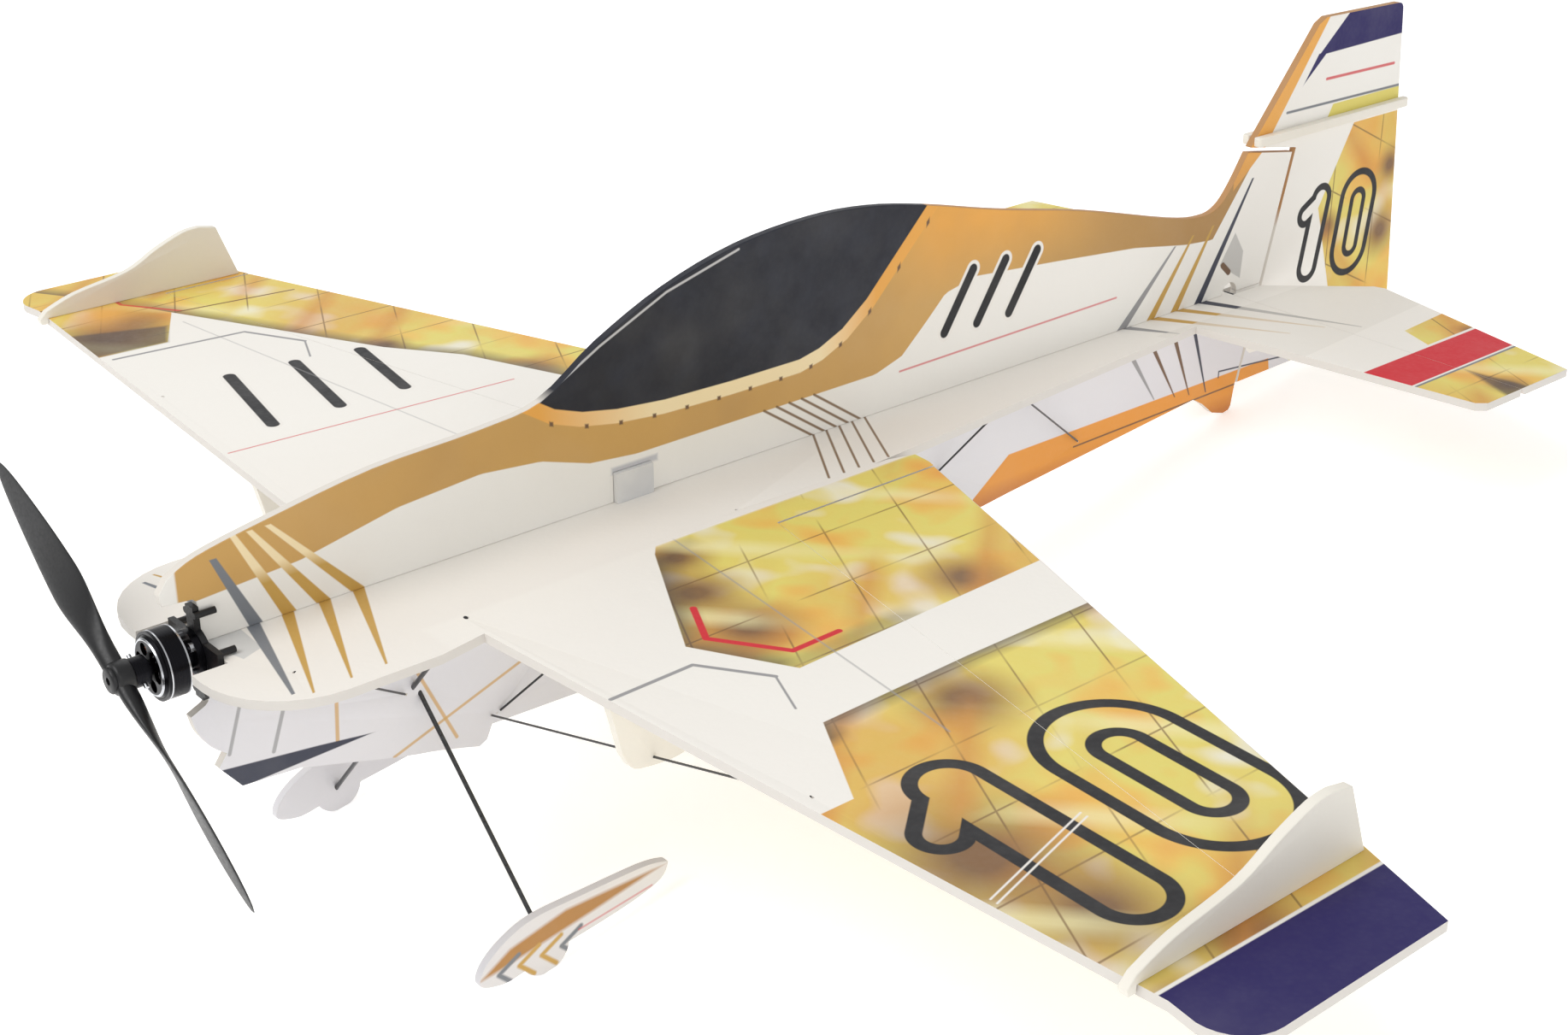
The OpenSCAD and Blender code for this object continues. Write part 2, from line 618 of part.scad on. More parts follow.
blade_faces = concat(
  [[for (k = [0 : blade_sides - 1]) k]],
  [[for (k = [blade_sides - 1 : -1 : 0]) blade_rings * blade_sides + k]],
  [for (i = [0 : blade_rings - 1], k = [0 : blade_sides - 1]) let (n = (k + 1) % blade_sides,
    a = i * blade_sides + k, b = i * blade_sides + n) each [[a, a + blade_sides, b], [b, a + blade_sides, b + blade_sides]]]);
module propeller() stance() color([0.09, 0.09, 0.1]) difference() {
  union() {
    axial(hub_front + 1.5, hub_mid - hub_front - 1.5, hub_r);
    axial(hub_front, 2, hub_r - 1.4);
    for (a = [0, 180]) translate([0, blade_y, thrust_z]) rotate([0, a + blade_turn - 90, 0])
      polyhedron(blade_points, blade_faces, convexity = 4);
  }
  axial(hub_front - 1, hub_mid - hub_front + 2, shaft_d / 2);
}
module propeller_collar() stance() color("black") difference() {
  axial(hub_mid, hub_back - hub_mid, hub_r - 0.6);
  axial(hub_mid - 1, hub_back - hub_mid + 2, shaft_d / 2);
  collar_bores(0.9);
}
module collar_bores(r) for (a = [0, 180]) translate([0, (hub_mid + hub_back) / 2, thrust_z]) rotate([0, a + blade_turn, 0])
  translate([shaft_d / 2, 0, 0]) rotate([0, 90, 0]) cylinder(r = r, h = 6.4, $fn = 24);
module collar_screws() stance() color("silver") difference() {
  collar_bores(0.9);
  axial(hub_mid - 1, hub_back - hub_mid + 2, shaft_d / 2 + 0.1);
}

// -- servos: the case stands on z = 0 with its shaft at the origin, pointing down
module servo_case(ear_z = 0) color("dodgerblue") difference() {
  union() {
    translate([-servo_w / 2, -shaft_in, 0]) cube([servo_w, servo_l, servo_h]);
    translate([0, 0, -boss_h]) cylinder(d = arm_hub_d, h = boss_h, $fn = 32);
    if (ear_z > 0) translate([-servo_w / 2, -shaft_in - ear_l, ear_z]) cube([servo_w, servo_l + 2 * ear_l, ear_t]);
  }
  translate([0, 0, -boss_h - 1]) cylinder(d = spline_d + 2 * run_gap, h = boss_h + 2, $fn = 32);
  if (ear_z > 0) for (y = [-shaft_in - ear_l / 2, servo_l - shaft_in + ear_l / 2])
    translate([0, y, ear_z - 1]) cylinder(d = 1.6, h = ear_t + 2, $fn = 24);
}
// an arm under the case, with one blade for each angle
module servo_arm(r, angles) color(nylon) difference() {
  union() {
    translate([0, 0, -arm_lift - arm_t]) cylinder(d = arm_hub_d, h = arm_t, $fn = 32);
    translate([0, 0, -arm_lift - 0.1]) cylinder(d = spline_d, h = boss_h + 1, $fn = 32);
    for (a = angles) rotate([0, 0, a]) {
      translate([0, -arm_w / 2, -arm_lift - arm_t]) cube([r, arm_w, arm_t]);
      translate([r, 0, -arm_lift - arm_t]) cylinder(d = arm_w, h = arm_t, $fn = 32);
    }
  }
  for (a = angles) rotate([0, 0, a]) translate([r, 0, -arm_lift - arm_t - 1])
    cylinder(d = pin_d + 2 * run_gap, h = arm_t + 2, $fn = 24);
}
// a push rod with a pin at each end, both along the direction v
module push_rod(a, b, v, to_arm, to_horn) color(carbon) {
  u = (b - a) / norm(b - a);
  rod(a - 0.8 * u, b + 0.8 * u, rod_d);
  rod(a, a + to_arm * v, pin_d);
  rod(b, b + to_horn * v, pin_d);
}
pin_reach = rod_d / 2 + rod_side + arm_t + pin_over;
horn_reach = rod_d / 2 + rod_side + horn_t + pin_over;

// -- aileron control
module at_aileron_servo() translate([0, ail_servo_y, ail_case_z]) children();
module aileron_servo() stance() at_aileron_servo() servo_case();
module aileron_servo_arm() stance() at_aileron_servo() servo_arm(aileron_arm_r, [ail_swing, 180 - ail_swing]);
ail_horn_hole = [ail_horn_x, ail_horn_y, ail_rod_z];
ail_rod_end = ail_horn_hole - [horn_t / 2 + 0.9, 0, 0];
module aileron_horn(s) stance() color(nylon) mirror([side(s), 0, 0]) difference() {
  upright([[ail_horn_y + foam_t + 1.5, under_z], [ail_horn_y - 3.6, ail_rod_z + 1], [ail_horn_y - 3.2, ail_rod_z - 3],
    [ail_horn_y + 3.2, ail_rod_z - 3.6], [ail_horn_y + foam_t + 11, under_z]], ail_horn_x, horn_t);
  translate(ail_horn_hole - [2, 0, 0]) rotate([0, 90, 0]) cylinder(d = ail_hole_d, h = 4, $fn = 32);
}
module aileron_horn_port() aileron_horn(1);
module aileron_horn_starboard() aileron_horn(-1);
module aileron_rod(s) stance() color(carbon) mirror([side(s), 0, 0]) {
  u = (ail_rod_end - ail_pin) / norm(ail_rod_end - ail_pin);
  rod(ail_pin - 0.8 * u, ail_rod_end, rod_d);
  rod(ail_pin, ail_pin + [0, 0, pin_reach], pin_d);
  rod(ail_rod_end - [0.3, 0, 0], ail_rod_end + [2.6, 0, 0], pin_d);
}
module aileron_rod_port() aileron_rod(1);
module aileron_rod_starboard() aileron_rod(-1);

// -- elevator control, in one upright plane on the starboard side
module at_elevator_servo() translate([elev_case_x, elev_servo_y, elev_servo_z]) rotate([0, 90, 0]) children();
module elevator_servo() stance() at_elevator_servo() servo_case(-half_t - elev_case_x - ear_t);
module elevator_servo_arm() stance() at_elevator_servo() servo_arm(arm_r, [0]);
elev_pin = [elev_rod_x, elev_servo_y, elev_servo_z - arm_r];
elev_hole = [elev_rod_x, elevator_y, -arm_r];
module elevator_horn() stance() color(nylon) difference() {
  upright([[elevator_y + foam_t + 1.5, under_z], [elevator_y - 2.4, 1 - arm_r], [elevator_y - 2, -arm_r - 2],
    [elevator_y + 2.4, -arm_r - 2.4], [elevator_y + foam_t + 10, under_z]],
    elev_rod_x + rod_d / 2 + rod_side + horn_t / 2, horn_t);
  translate(elev_hole) rotate([0, 90, 0]) cylinder(d = elev_hole_d, h = 4, $fn = 24);
}
module elevator_rod() stance() push_rod(elev_pin, elev_hole, [1, 0, 0], pin_reach, horn_reach);

// -- rudder control, in a level plane on the starboard side
module at_rudder_servo() translate([rud_servo_x, rud_servo_y, rud_case_z]) children();
module rudder_servo() stance() at_rudder_servo() servo_case();
module rudder_servo_arm() stance() at_rudder_servo() servo_arm(arm_r, [180]);
rud_pin = [rud_servo_x - arm_r, rud_servo_y, rud_rod_z];
rud_hole = [-arm_r, rud_horn_y, rud_rod_z];
module rudder_horn() stance() color(nylon) difference() {
  translate([0, 0, rud_rod_z + rod_d / 2 + rud_side]) linear_extrude(horn_t)
    polygon([[-half_t, rud_horn_y + 3], [-half_t, rud_horn_y + 13], [-arm_r - 2.4, rud_horn_y + 2.4],
      [-arm_r - 2.4, rud_horn_y - 2.2], [-arm_r + 2.4, rud_horn_y - 2.4]]);
  translate(rud_hole) cylinder(d = rud_hole_d, h = rud_reach, $fn = 24);
}
module rudder_rod() stance() push_rod(rud_pin, rud_hole, [0, 0, 1], pin_reach, rud_reach);

// -- boxes on the starboard side of the lower profile
module side_box(y, z, l, h, t, off = 0) translate([-half_t - off - t, y, z]) cube([t, l, h]);
module speed_controller() stance() color("midnightblue") side_box(controller_y, controller_z, 34, 20, 6);
module receiver() stance() color("darkslategray") side_box(receiver_y, receiver_z, 34, 20, 8);
module battery() stance() color("steelblue") side_box(battery_y, battery_z, battery_l, battery_h, battery_t, pad_t);
module battery_pad() stance() color("black") side_box(battery_y + pad_inset, battery_z + pad_inset,
  battery_l - 2 * pad_inset, battery_h - 2 * pad_inset, pad_t);

fuselage_plate();
upper_profile();
lower_profile();
wing_port();
wing_starboard();
aileron_port();
aileron_starboard();
wing_fence_port();
wing_fence_starboard();
strut_web_port();
strut_web_starboard();
elevator_port();
elevator_starboard();
elevator_joiner();
rudder();
rudder_strips();
spar_port();
spar_starboard();
wheel_pant_port();
wheel_pant_starboard();
leg_port();
leg_starboard();
leg_stays();
wing_braces();
plate_braces();
tail_braces();
motor_mount();
motor_screws();
motor_base();
motor_bearings();
motor_stator();
motor_windings();
motor_bell();
motor_magnets();
motor_shaft();
propeller();
propeller_collar();
collar_screws();
aileron_servo();
aileron_servo_arm();
aileron_horn_port();
aileron_horn_starboard();
aileron_rod_port();
aileron_rod_starboard();
elevator_servo();
elevator_servo_arm();
elevator_horn();
elevator_rod();
rudder_servo();
rudder_servo_arm();
rudder_horn();
rudder_rod();
speed_controller();
receiver();
battery();
battery_pad();
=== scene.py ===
import bpy
import bmesh
import json
import math
from mathutils import Matrix, Vector


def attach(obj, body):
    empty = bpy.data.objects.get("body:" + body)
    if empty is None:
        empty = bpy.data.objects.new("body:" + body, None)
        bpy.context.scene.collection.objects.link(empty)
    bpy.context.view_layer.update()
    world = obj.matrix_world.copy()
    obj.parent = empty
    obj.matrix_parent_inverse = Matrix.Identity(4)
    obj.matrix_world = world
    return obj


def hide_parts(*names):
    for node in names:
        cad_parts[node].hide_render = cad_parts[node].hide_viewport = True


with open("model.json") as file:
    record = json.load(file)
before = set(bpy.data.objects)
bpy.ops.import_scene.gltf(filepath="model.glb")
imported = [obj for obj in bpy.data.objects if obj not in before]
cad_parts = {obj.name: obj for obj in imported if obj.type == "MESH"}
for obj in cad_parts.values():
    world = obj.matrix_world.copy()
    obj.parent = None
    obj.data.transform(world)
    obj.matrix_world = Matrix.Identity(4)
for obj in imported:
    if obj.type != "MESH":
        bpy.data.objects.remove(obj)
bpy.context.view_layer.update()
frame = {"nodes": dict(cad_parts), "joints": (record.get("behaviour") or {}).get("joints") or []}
nodes = frame["nodes"]
scene = bpy.context.scene

# The aeroplane is drawn level: x to port, y aft, z up, in millimetres, from the centre of the propeller.
# On the ground it sits nose up, so the level axes come from the propeller's joint.
spin = next(j for j in frame["joints"] if j["name"] == "propeller_spin")
port = Vector((1, 0, 0))
aft = Vector(spin["axis"])
up = port.cross(aft)
thrustDrop = 4
origin = Vector(spin["pos_m"]) + up * thrustDrop / 1000
mm = 0.001
levelToRow = Matrix((
    (port.x * mm, aft.x * mm, up.x * mm, origin.x), (port.y * mm, aft.y * mm, up.y * mm, origin.y),
    (port.z * mm, aft.z * mm, up.z * mm, origin.z), (0, 0, 0, 1)))


def place(x, y, z):
    return levelToRow @ Vector((x, y, z))


# shader maths

class Wire:
    def __init__(self, finish, socket):
        self.finish = finish
        self.socket = socket

    def math(self, operation, *others):
        return self.finish.node("ShaderNodeMath", dict(operation=operation), [self, *others])

    def __add__(self, other): return self.math("ADD", other)
    def __sub__(self, other): return self.math("SUBTRACT", other)
    def __mul__(self, other): return self.math("MULTIPLY", other)
    def __truediv__(self, other): return self.math("DIVIDE", other)
    def __rsub__(self, other): return self.finish.node("ShaderNodeMath", dict(operation="SUBTRACT"), [other, self])
    __radd__ = __add__
    __rmul__ = __mul__

    def least(self, other): return self.math("MINIMUM", other)
    def most(self, other): return self.math("MAXIMUM", other)
    def fold(self, other): return self.math("PINGPONG", other)
    def size(self): return self.math("ABSOLUTE")
    def root(self): return self.math("SQRT")


class Finish:
    def __init__(self, name, roughness=0.5, **constants):
        self.material = bpy.data.materials.new(name)
        self.material.use_nodes = True
        self.tree = self.material.node_tree
        self.shader = next(n for n in self.tree.nodes if n.type == "BSDF_PRINCIPLED")
        self.shader.inputs["Roughness"].default_value = roughness
        for socket, value in constants.items():
            self.shader.inputs[socket.replace("_", " ")].default_value = value
        coordinates = self.tree.nodes.new("ShaderNodeTexCoord")
        self.object = Wire(self, coordinates.outputs["Object"])
        self.normal = Wire(self, coordinates.outputs["Normal"])

    # inputs by position or by identifier
    def node(self, kind, settings, values, out=0):
        node = self.tree.nodes.new(kind)
        for key, value in settings.items():
            setattr(node, key, value)
        pairs = values.items() if isinstance(values, dict) else enumerate(values)
        for key, value in pairs:
            named = isinstance(key, str)
            socket = next(s for s in node.inputs if s.identifier == key) if named else node.inputs[key]
            if isinstance(value, Wire):
                self.tree.links.new(value.socket, socket)
            else:
                socket.default_value = value
        if isinstance(out, str):
            return Wire(self, next(s for s in node.outputs if s.identifier == out))
        return Wire(self, node.outputs[out])

    def set(self, socket, wire):
        self.tree.links.new(wire.socket, self.shader.inputs[socket])

    def over(self, under, colour, mask):
        return self.node("ShaderNodeMix", dict(data_type="RGBA"),
                         {"Factor_Float": mask, "A_Color": under, "B_Color": colour}, "Result_Color")

    def noise(self, scale, detail=3, vector=None, roughness=0.5):
        return self.node("ShaderNodeTexNoise", {}, {"Vector": vector or self.object, "Scale": scale,
                         "Detail": detail, "Roughness": roughness}, "Fac")

    def ramp(self, fac, stops):
        node = self.tree.nodes.new("ShaderNodeValToRGB")
        elements = node.color_ramp.elements
        while len(elements) < len(stops):
            elements.new(0.5)
        for element, (position, colour) in zip(elements, stops):
            element.position = position
        for element, (position, colour) in zip(elements, stops):
            element.color = colour
        self.tree.links.new(fac.socket, node.inputs[0])
        return Wire(self, node.outputs[0])

    def fit(self, value, low, high):
        return self.node("ShaderNodeMapRange", {}, {"Value": value, "From Min": low, "From Max": high})

    def bump(self, height, strength, distance):
        values = {"Height": height, "Strength": strength, "Distance": distance}
        self.set("Normal", self.node("ShaderNodeBump", {}, values))

    # level coordinates in millimetres
    def level(self):
        pitch = math.atan2(-aft.z, aft.y)
        shift = levelToRow.inverted() @ Vector((0, 0, 0))
        return self.node("ShaderNodeMapping", dict(vector_type="POINT"),
                         [self.object, shift, (pitch, 0, 0), (1000, 1000, 1000)])

    def split(self, vector):
        node = self.tree.nodes.new("ShaderNodeSeparateXYZ")
        self.tree.links.new(vector.socket, node.inputs[0])
        return [Wire(self, s) for s in node.outputs]

    def join(self, u, v, w=1.0):
        return self.node("ShaderNodeCombineXYZ", {}, [u, v, w])


def tint(r, g, b):
    def linear(c):
        c /= 255
        return c / 12.92 if c < 0.04045 else ((c + 0.055) / 1.055) ** 2.4
    return (linear(r), linear(g), linear(b), 1.0)


# A page is one printed face of the foam: u and v are level millimetres across it.

class Page:
    def __init__(self, finish, u, v):
        self.finish = finish
        self.u, self.v = u, v
        self.point = finish.join(u, v)

    def dot(self, line):
        return self.finish.node("ShaderNodeVectorMath", dict(operation="DOT_PRODUCT"), [self.point, line], "Value")

    # distance inside a convex outline, positive inside
    def inside(self, *points):
        edges = list(zip(points, points[1:] + points[:1]))
        turn = sum(a[0] * b[1] - b[0] * a[1] for a, b in edges)
        result = None
        for a, b in edges:
            length = math.dist(a, b) * (1 if turn > 0 else -1)
            n = ((a[1] - b[1]) / length, (b[0] - a[0]) / length)
            edge = self.dot((n[0], n[1], -n[0] * a[0] - n[1] * a[1]))
            result = edge if result is None else result.least(edge)
        return result

    def fill(self, *points, soft=0.5):
        return self.finish.fit(self.inside(*points), -soft / 2, soft / 2)

    # distance from a straight stroke
    def along(self, a, b):
        length = math.dist(a, b)
        d = ((b[0] - a[0]) / length, (b[1] - a[1]) / length)
        across = self.dot((-d[1], d[0], d[1] * a[0] - d[0] * a[1]))
        run = self.dot((d[0], d[1], -d[0] * a[0] - d[1] * a[1]))
        beyond = ((run - length / 2).size() - length / 2).most(0.0)
        return (across * across + beyond * beyond).root()

    def stroke(self, *points, width=1.0, soft=0.5):
        result = None
        for a, b in zip(points, points[1:]):
            part = self.along(a, b)
            result = part if result is None else result.least(part)
        return self.finish.fit(result, width / 2 + soft / 2, width / 2 - soft / 2)

    # the outline of a rounded bar
    def loop(self, a, b, radius, width):
        return self.finish.fit((self.along(a, b) - radius).size(), width / 2 + 0.25, width / 2 - 0.25)

    # a soft round shadow
    def glow(self, centre, radius):
        return self.finish.fit(self.along(centre, (centre[0] + 0.1, centre[1])), radius, radius * 0.15)

    # v as a line over u, through a few points
    def graph(self, points):
        low, high = points[0][0], points[-1][0]
        bottom = min(p[1] for p in points)
        tall = max(p[1] for p in points) - bottom or 1
        fac = self.finish.fit(self.u, low, high)
        stops = [((p[0] - low) / (high - low), ((p[1] - bottom) / tall,) * 3 + (1,)) for p in points]
        return self.finish.ramp(fac, stops) * tall + bottom

    # 0 outside to 1 inside, over a soft edge
    def step(self, distance, soft=0.5):
        return self.finish.fit(distance, -soft / 2, soft / 2)


ink = dict(
    white=tint(236, 232, 225), pale=tint(233, 228, 205), cream=tint(244, 224, 180), yellow=tint(224, 210, 110),
    orange=tint(232, 168, 78), gold=tint(196, 156, 78), tan=tint(203, 160, 92), brown=tint(112, 84, 62),
    dark=tint(84, 70, 62), line=tint(120, 88, 48), red=tint(206, 34, 48), navy=tint(22, 6, 86),
    black=tint(22, 22, 26), grey=tint(150, 149, 150), steel=tint(120, 124, 130), slate=tint(58, 61, 76),
    canopy=tint(25, 28, 40), stripe=tint(226, 150, 60), shade=tint(213, 211, 214))


# the printed foam

foam = dict(beads=430, ripple=90, bumpStrength=0.22, bumpDepth=0.0004, roughness=0.52)


def foamSurface(finish, colour, edge=None, face=None):
    if edge is not None:
        colour = finish.over(edge, colour, face)
    cloud = finish.noise(22, 2)
    colour = finish.over(colour, tint(214, 209, 200), finish.fit(cloud, 0.5, 1.3) * 0.12)
    finish.set("Base Color", colour)
    bead = finish.node("ShaderNodeTexVoronoi", dict(feature="SMOOTH_F1"),
                       {"Vector": finish.object, "Scale": foam["beads"], "Smoothness": 0.7}, "Distance")
    ripple = finish.noise(foam["ripple"], 3)
    finish.set("Roughness", finish.fit(ripple + bead * 0.4, 0.3, 0.9) * 0.16 + (foam["roughness"] - 0.08))
    finish.bump(bead * 0.6 + ripple * 0.8, foam["bumpStrength"], foam["bumpDepth"])
    return finish


# golden tiles: a slanted grid over cloudy yellow, orange and cream
def tiles(page, seedShift, shadows=()):
    finish = page.finish
    moved = finish.join(page.u * 0.018 + seedShift, page.v * 0.018, seedShift)
    cloud = finish.noise(1.0, 2, moved, 0.6)
    colour = finish.ramp(cloud, [
        (0.3, ink["orange"]), (0.4, tint(232, 190, 92)), (0.48, ink["yellow"]), (0.55, tint(226, 208, 108)),
        (0.64, ink["pale"]), (0.76, tint(232, 222, 196))])
    patch = finish.noise(1.0, 0, finish.join(page.u * 0.009 - seedShift, page.v * 0.009, seedShift))
    colour = finish.over(colour, tint(214, 150, 66), finish.fit(patch, 0.52, 0.68) * 0.55)
    for u, v, radius in shadows:
        shade = page.glow((u, v), radius * 1.25)
        colour = finish.over(colour, tint(178, 118, 48), shade * 0.75)
        colour = finish.over(colour, ink["brown"], shade * shade * 0.85)

    def rule(value, spacing, offset, width):
        return finish.fit((value - offset).fold(spacing / 2), width / 2 + 0.35, width / 2 - 0.15)
    slanted = page.v + page.u * 0.5
    facet = (slanted + page.u * 0.6 - 300).fold(34.0)
    colour = finish.over(colour, tint(206, 140, 62), finish.fit(facet, 21, 33) * finish.fit(patch, 0.44, 0.6) * 0.6)
    facet = (slanted - page.u * 1.4 - 300).fold(42.0)
    colour = finish.over(colour, tint(240, 232, 176), finish.fit(facet, 29, 40) * finish.fit(patch, 0.56, 0.42) * 0.6)
    grid = rule(slanted, 42, 318, 0.7).most(rule(page.u, 40, 4, 0.7))
    fade = finish.fit(finish.noise(1.4, 1, moved), 0.36, 0.56)
    return finish.over(colour, ink["line"], grid * fade * 0.75)


# top of the wings, the plate and the tailplane
def printTop():
    finish = Finish("printedTop")
    x, y, z = finish.split(finish.level())
    page = Page(finish, x, y)
    paper = finish.over(ink["white"], tint(240, 237, 230), finish.noise(9, 1))

    # port wing
    innerShadows = [(152, 292, 20), (128, 198, 24), (92, 200, 22), (62, 214, 16)]
    outerShadows = [(222, 222, 24), (300, 152, 42), (345, 160, 30), (388, 186, 24), (395, 146, 16)]
    innerPart = page.inside((48, 214), (54, 209), (125, 169), (166, 191), (161, 332), (48, 380))
    outerPart = page.inside((202, 171), (420, 45), (420, 300), (198, 320)).least(page.u - 200)
    outerPart = outerPart.most(page.inside((247, 120), (420, 120), (420, 300), (247, 300)))
    tile = tiles(page, 0.0, innerShadows + outerShadows)
    face = finish.over(paper, tile, page.step(innerPart.most(outerPart)))
    rim = finish.fit(innerPart, 12, 0) * finish.fit(page.inside((48, 100), (170, 100), (170, 262), (48, 232)), 0, 12)
    band = finish.fit(outerPart, 9, 0) * page.fill((196, 150), (215, 150), (215, 330), (196, 330), soft=6)
    shadow = (rim * page.step(innerPart)).most(band * page.step(outerPart))
    face = finish.over(face, ink["dark"], shadow * 0.8)
    face = finish.over(face, ink["red"], page.stroke((102, 191), (125, 179), (154, 198), (153.5, 222), width=3))
    face = finish.over(face, ink["grey"], page.stroke((139, 123), (138, 162), (165, 180), width=2))
    face = finish.over(face, ink["grey"], page.stroke((165, 180), (188, 170), width=1))
    # outlined number
    face = finish.over(face, ink["black"], page.loop((281, 240), (327, 238), 29, 6))
    face = finish.over(face, ink["black"], page.loop((283, 240), (325, 238), 10, 6))
    figure = (page.along((262, 176), (346, 174)) - 14).least(page.along((262, 176), (282, 152)) - 9)
    face = finish.over(face, ink["black"], finish.fit(figure.size(), 3.25, 2.75))
    face = finish.over(face, ink["white"], page.stroke((319, 138), (303, 197), width=0.8))
    face = finish.over(face, ink["white"], page.stroke((322, 138), (306, 197), width=0.8))
    tip = page.inside((385, 60), (386, 137), (395, 156), (401, 178), (404, 200), (404, 420), (-60, 420), (-60, 60))
    face = finish.over(face, ink["white"], page.step(1.2 - tip))
    face = finish.over(face, ink["navy"], page.step(-0.3 - tip) * page.step(page.u - 300))

    # starboard wing
    tile = tiles(page, 7.3, [(-330, 152, 34), (-345, 168, 24), (-150, 292, 18), (-228, 252, 14)])
    fore = page.inside((-420, 120), (-306, 120), (-303, 171), (-342, 193), (-420, 193))
    low = page.graph([(-420, 150), (-385, 172), (-342, 193), (-225, 251), (-190, 276), (-128, 300), (-127, 420)])
    strip = page.v - low
    star = finish.over(paper, tile, page.step(strip.most(fore)))
    star = finish.over(star, ink["dark"], finish.fit(strip, 12, 0) * page.step(strip) * 0.75)
    star = finish.over(star, ink["dark"], page.fill((-345, 130), (-306, 130), (-303, 171), (-325, 182), soft=3) * 0.8)
    star = finish.over(star, ink["orange"], page.glow((-362, 165), 30) * 0.8)
    star = finish.over(star, ink["red"], page.stroke((-385, 178), (-370, 178), (-341, 198), width=2) * 0.8)
    star = finish.over(star, ink["line"], page.stroke((-388, 139), (-380, 206), width=1.4))
    star = finish.over(star, ink["line"], page.stroke((-341, 195), (-332, 260), width=1.4))
    star = finish.over(star, ink["grey"], page.stroke((-298, 139), (-291, 208), (-259, 225), width=2))
    star = finish.over(star, ink["grey"], page.stroke((-259, 225), (-238, 216), width=1))
    star = finish.over(star, ink["red"], page.stroke((-155, 126), (-146, 276), width=1.1) * 0.7)
    # three plain bars
    for bar in (((-240, 172), (-172, 158)), ((-236, 206), (-172, 194)), ((-230, 240), (-172, 230))):
        star = finish.over(star, ink["white"], page.stroke(*bar, width=10))
        star = finish.over(star, ink["black"], page.stroke(*bar, width=6.4))
    face = finish.over(star, face, page.step(page.u - 20))

    # spar line: a faint grey line over the spar
    face = finish.over(face, ink["grey"], page.stroke((0, 229.5), (236, 201), width=1) * 0.55)
    face = finish.over(face, ink["grey"], page.stroke((0, 229.5), (-325, 191), width=1) * 0.4)

    # plate: stripes that sweep forward from the centre line
    side = page.u.size()
    half = Page(finish, side, page.v)
    # painted shade: a grey patch on the plate behind the motor recess
    nose = finish.over(ink["white"], tint(205, 205, 203), half.fill((-1, 30), (24, 36), (20, 46), (-1, 47)))
    nose = finish.over(nose, ink["steel"], half.fill((-1, 50), (-1, 56), (60, 37.5), (60, 36)))
    for start in (68.5, 85, 100.5):
        reach = 64 - (start - 68) * 0.05
        stripe = half.fill((-1, start - 2.8), (-1, start + 2.8), (reach, start - 25), (reach, start - 26))
        nose = finish.over(nose, ink["gold"], stripe)
    for k in range(5):
        nose = finish.over(nose, ink["line"], half.stroke((0, 343 + 8 * k), (43, 315 + 9 * k), width=1.2) * 0.9)
    tail = [(555, 28, 574, "grey"), (577, 62, 616, "gold"), (597, 68, 637, "gold"), (616, 80, 652, "slate")]
    for start, reach, end, name in tail:
        stripe = half.fill((-1, start - 2), (-1, start + 4.5), (reach, end + 0.5), (reach, end - 0.5))
        nose = finish.over(nose, ink[name], stripe)
    # tailplane: a red band between tiles
    tailTile = tiles(half, 3.1, [(176, 640, 12), (120, 690, 10)])
    nose = finish.over(nose, tailTile, half.fill((148, 580), (200, 580), (200, 720), (148, 720)))
    nose = finish.over(nose, tailTile, half.fill((98, 664), (118, 656), (118, 720), (94, 720)))
    nose = finish.over(nose, ink["dark"], half.fill((152, 641), (184, 627), (184, 646), soft=3) * 0.8)
    # painted shadow of the fin and rudder: a slightly darker cream patch on the tailplane beside the fin
    nose = finish.over(nose, tint(226, 222, 214), half.fill((20, 560), (88, 590), (78, 720), (20, 720)) * 0.6)
    nose = finish.over(nose, ink["red"], half.fill((120, 560), (146, 560), (146, 720), (120, 720)))
    nose = finish.over(nose, ink["steel"], half.stroke((148, 560), (148, 720), width=1.4))
    wing = page.fill((48, 100), (48, 400), (440, 400), (440, 100), soft=3)
    wingStar = page.fill((-46, 100), (-46, 400), (-440, 400), (-440, 100), soft=0.4)
    face = finish.over(nose, face, wing.most(wingStar))
    facing = finish.split(finish.normal)[2].size()
    return foamSurface(finish, face, tint(214, 209, 202), finish.fit(facing, 0.85, 0.93))


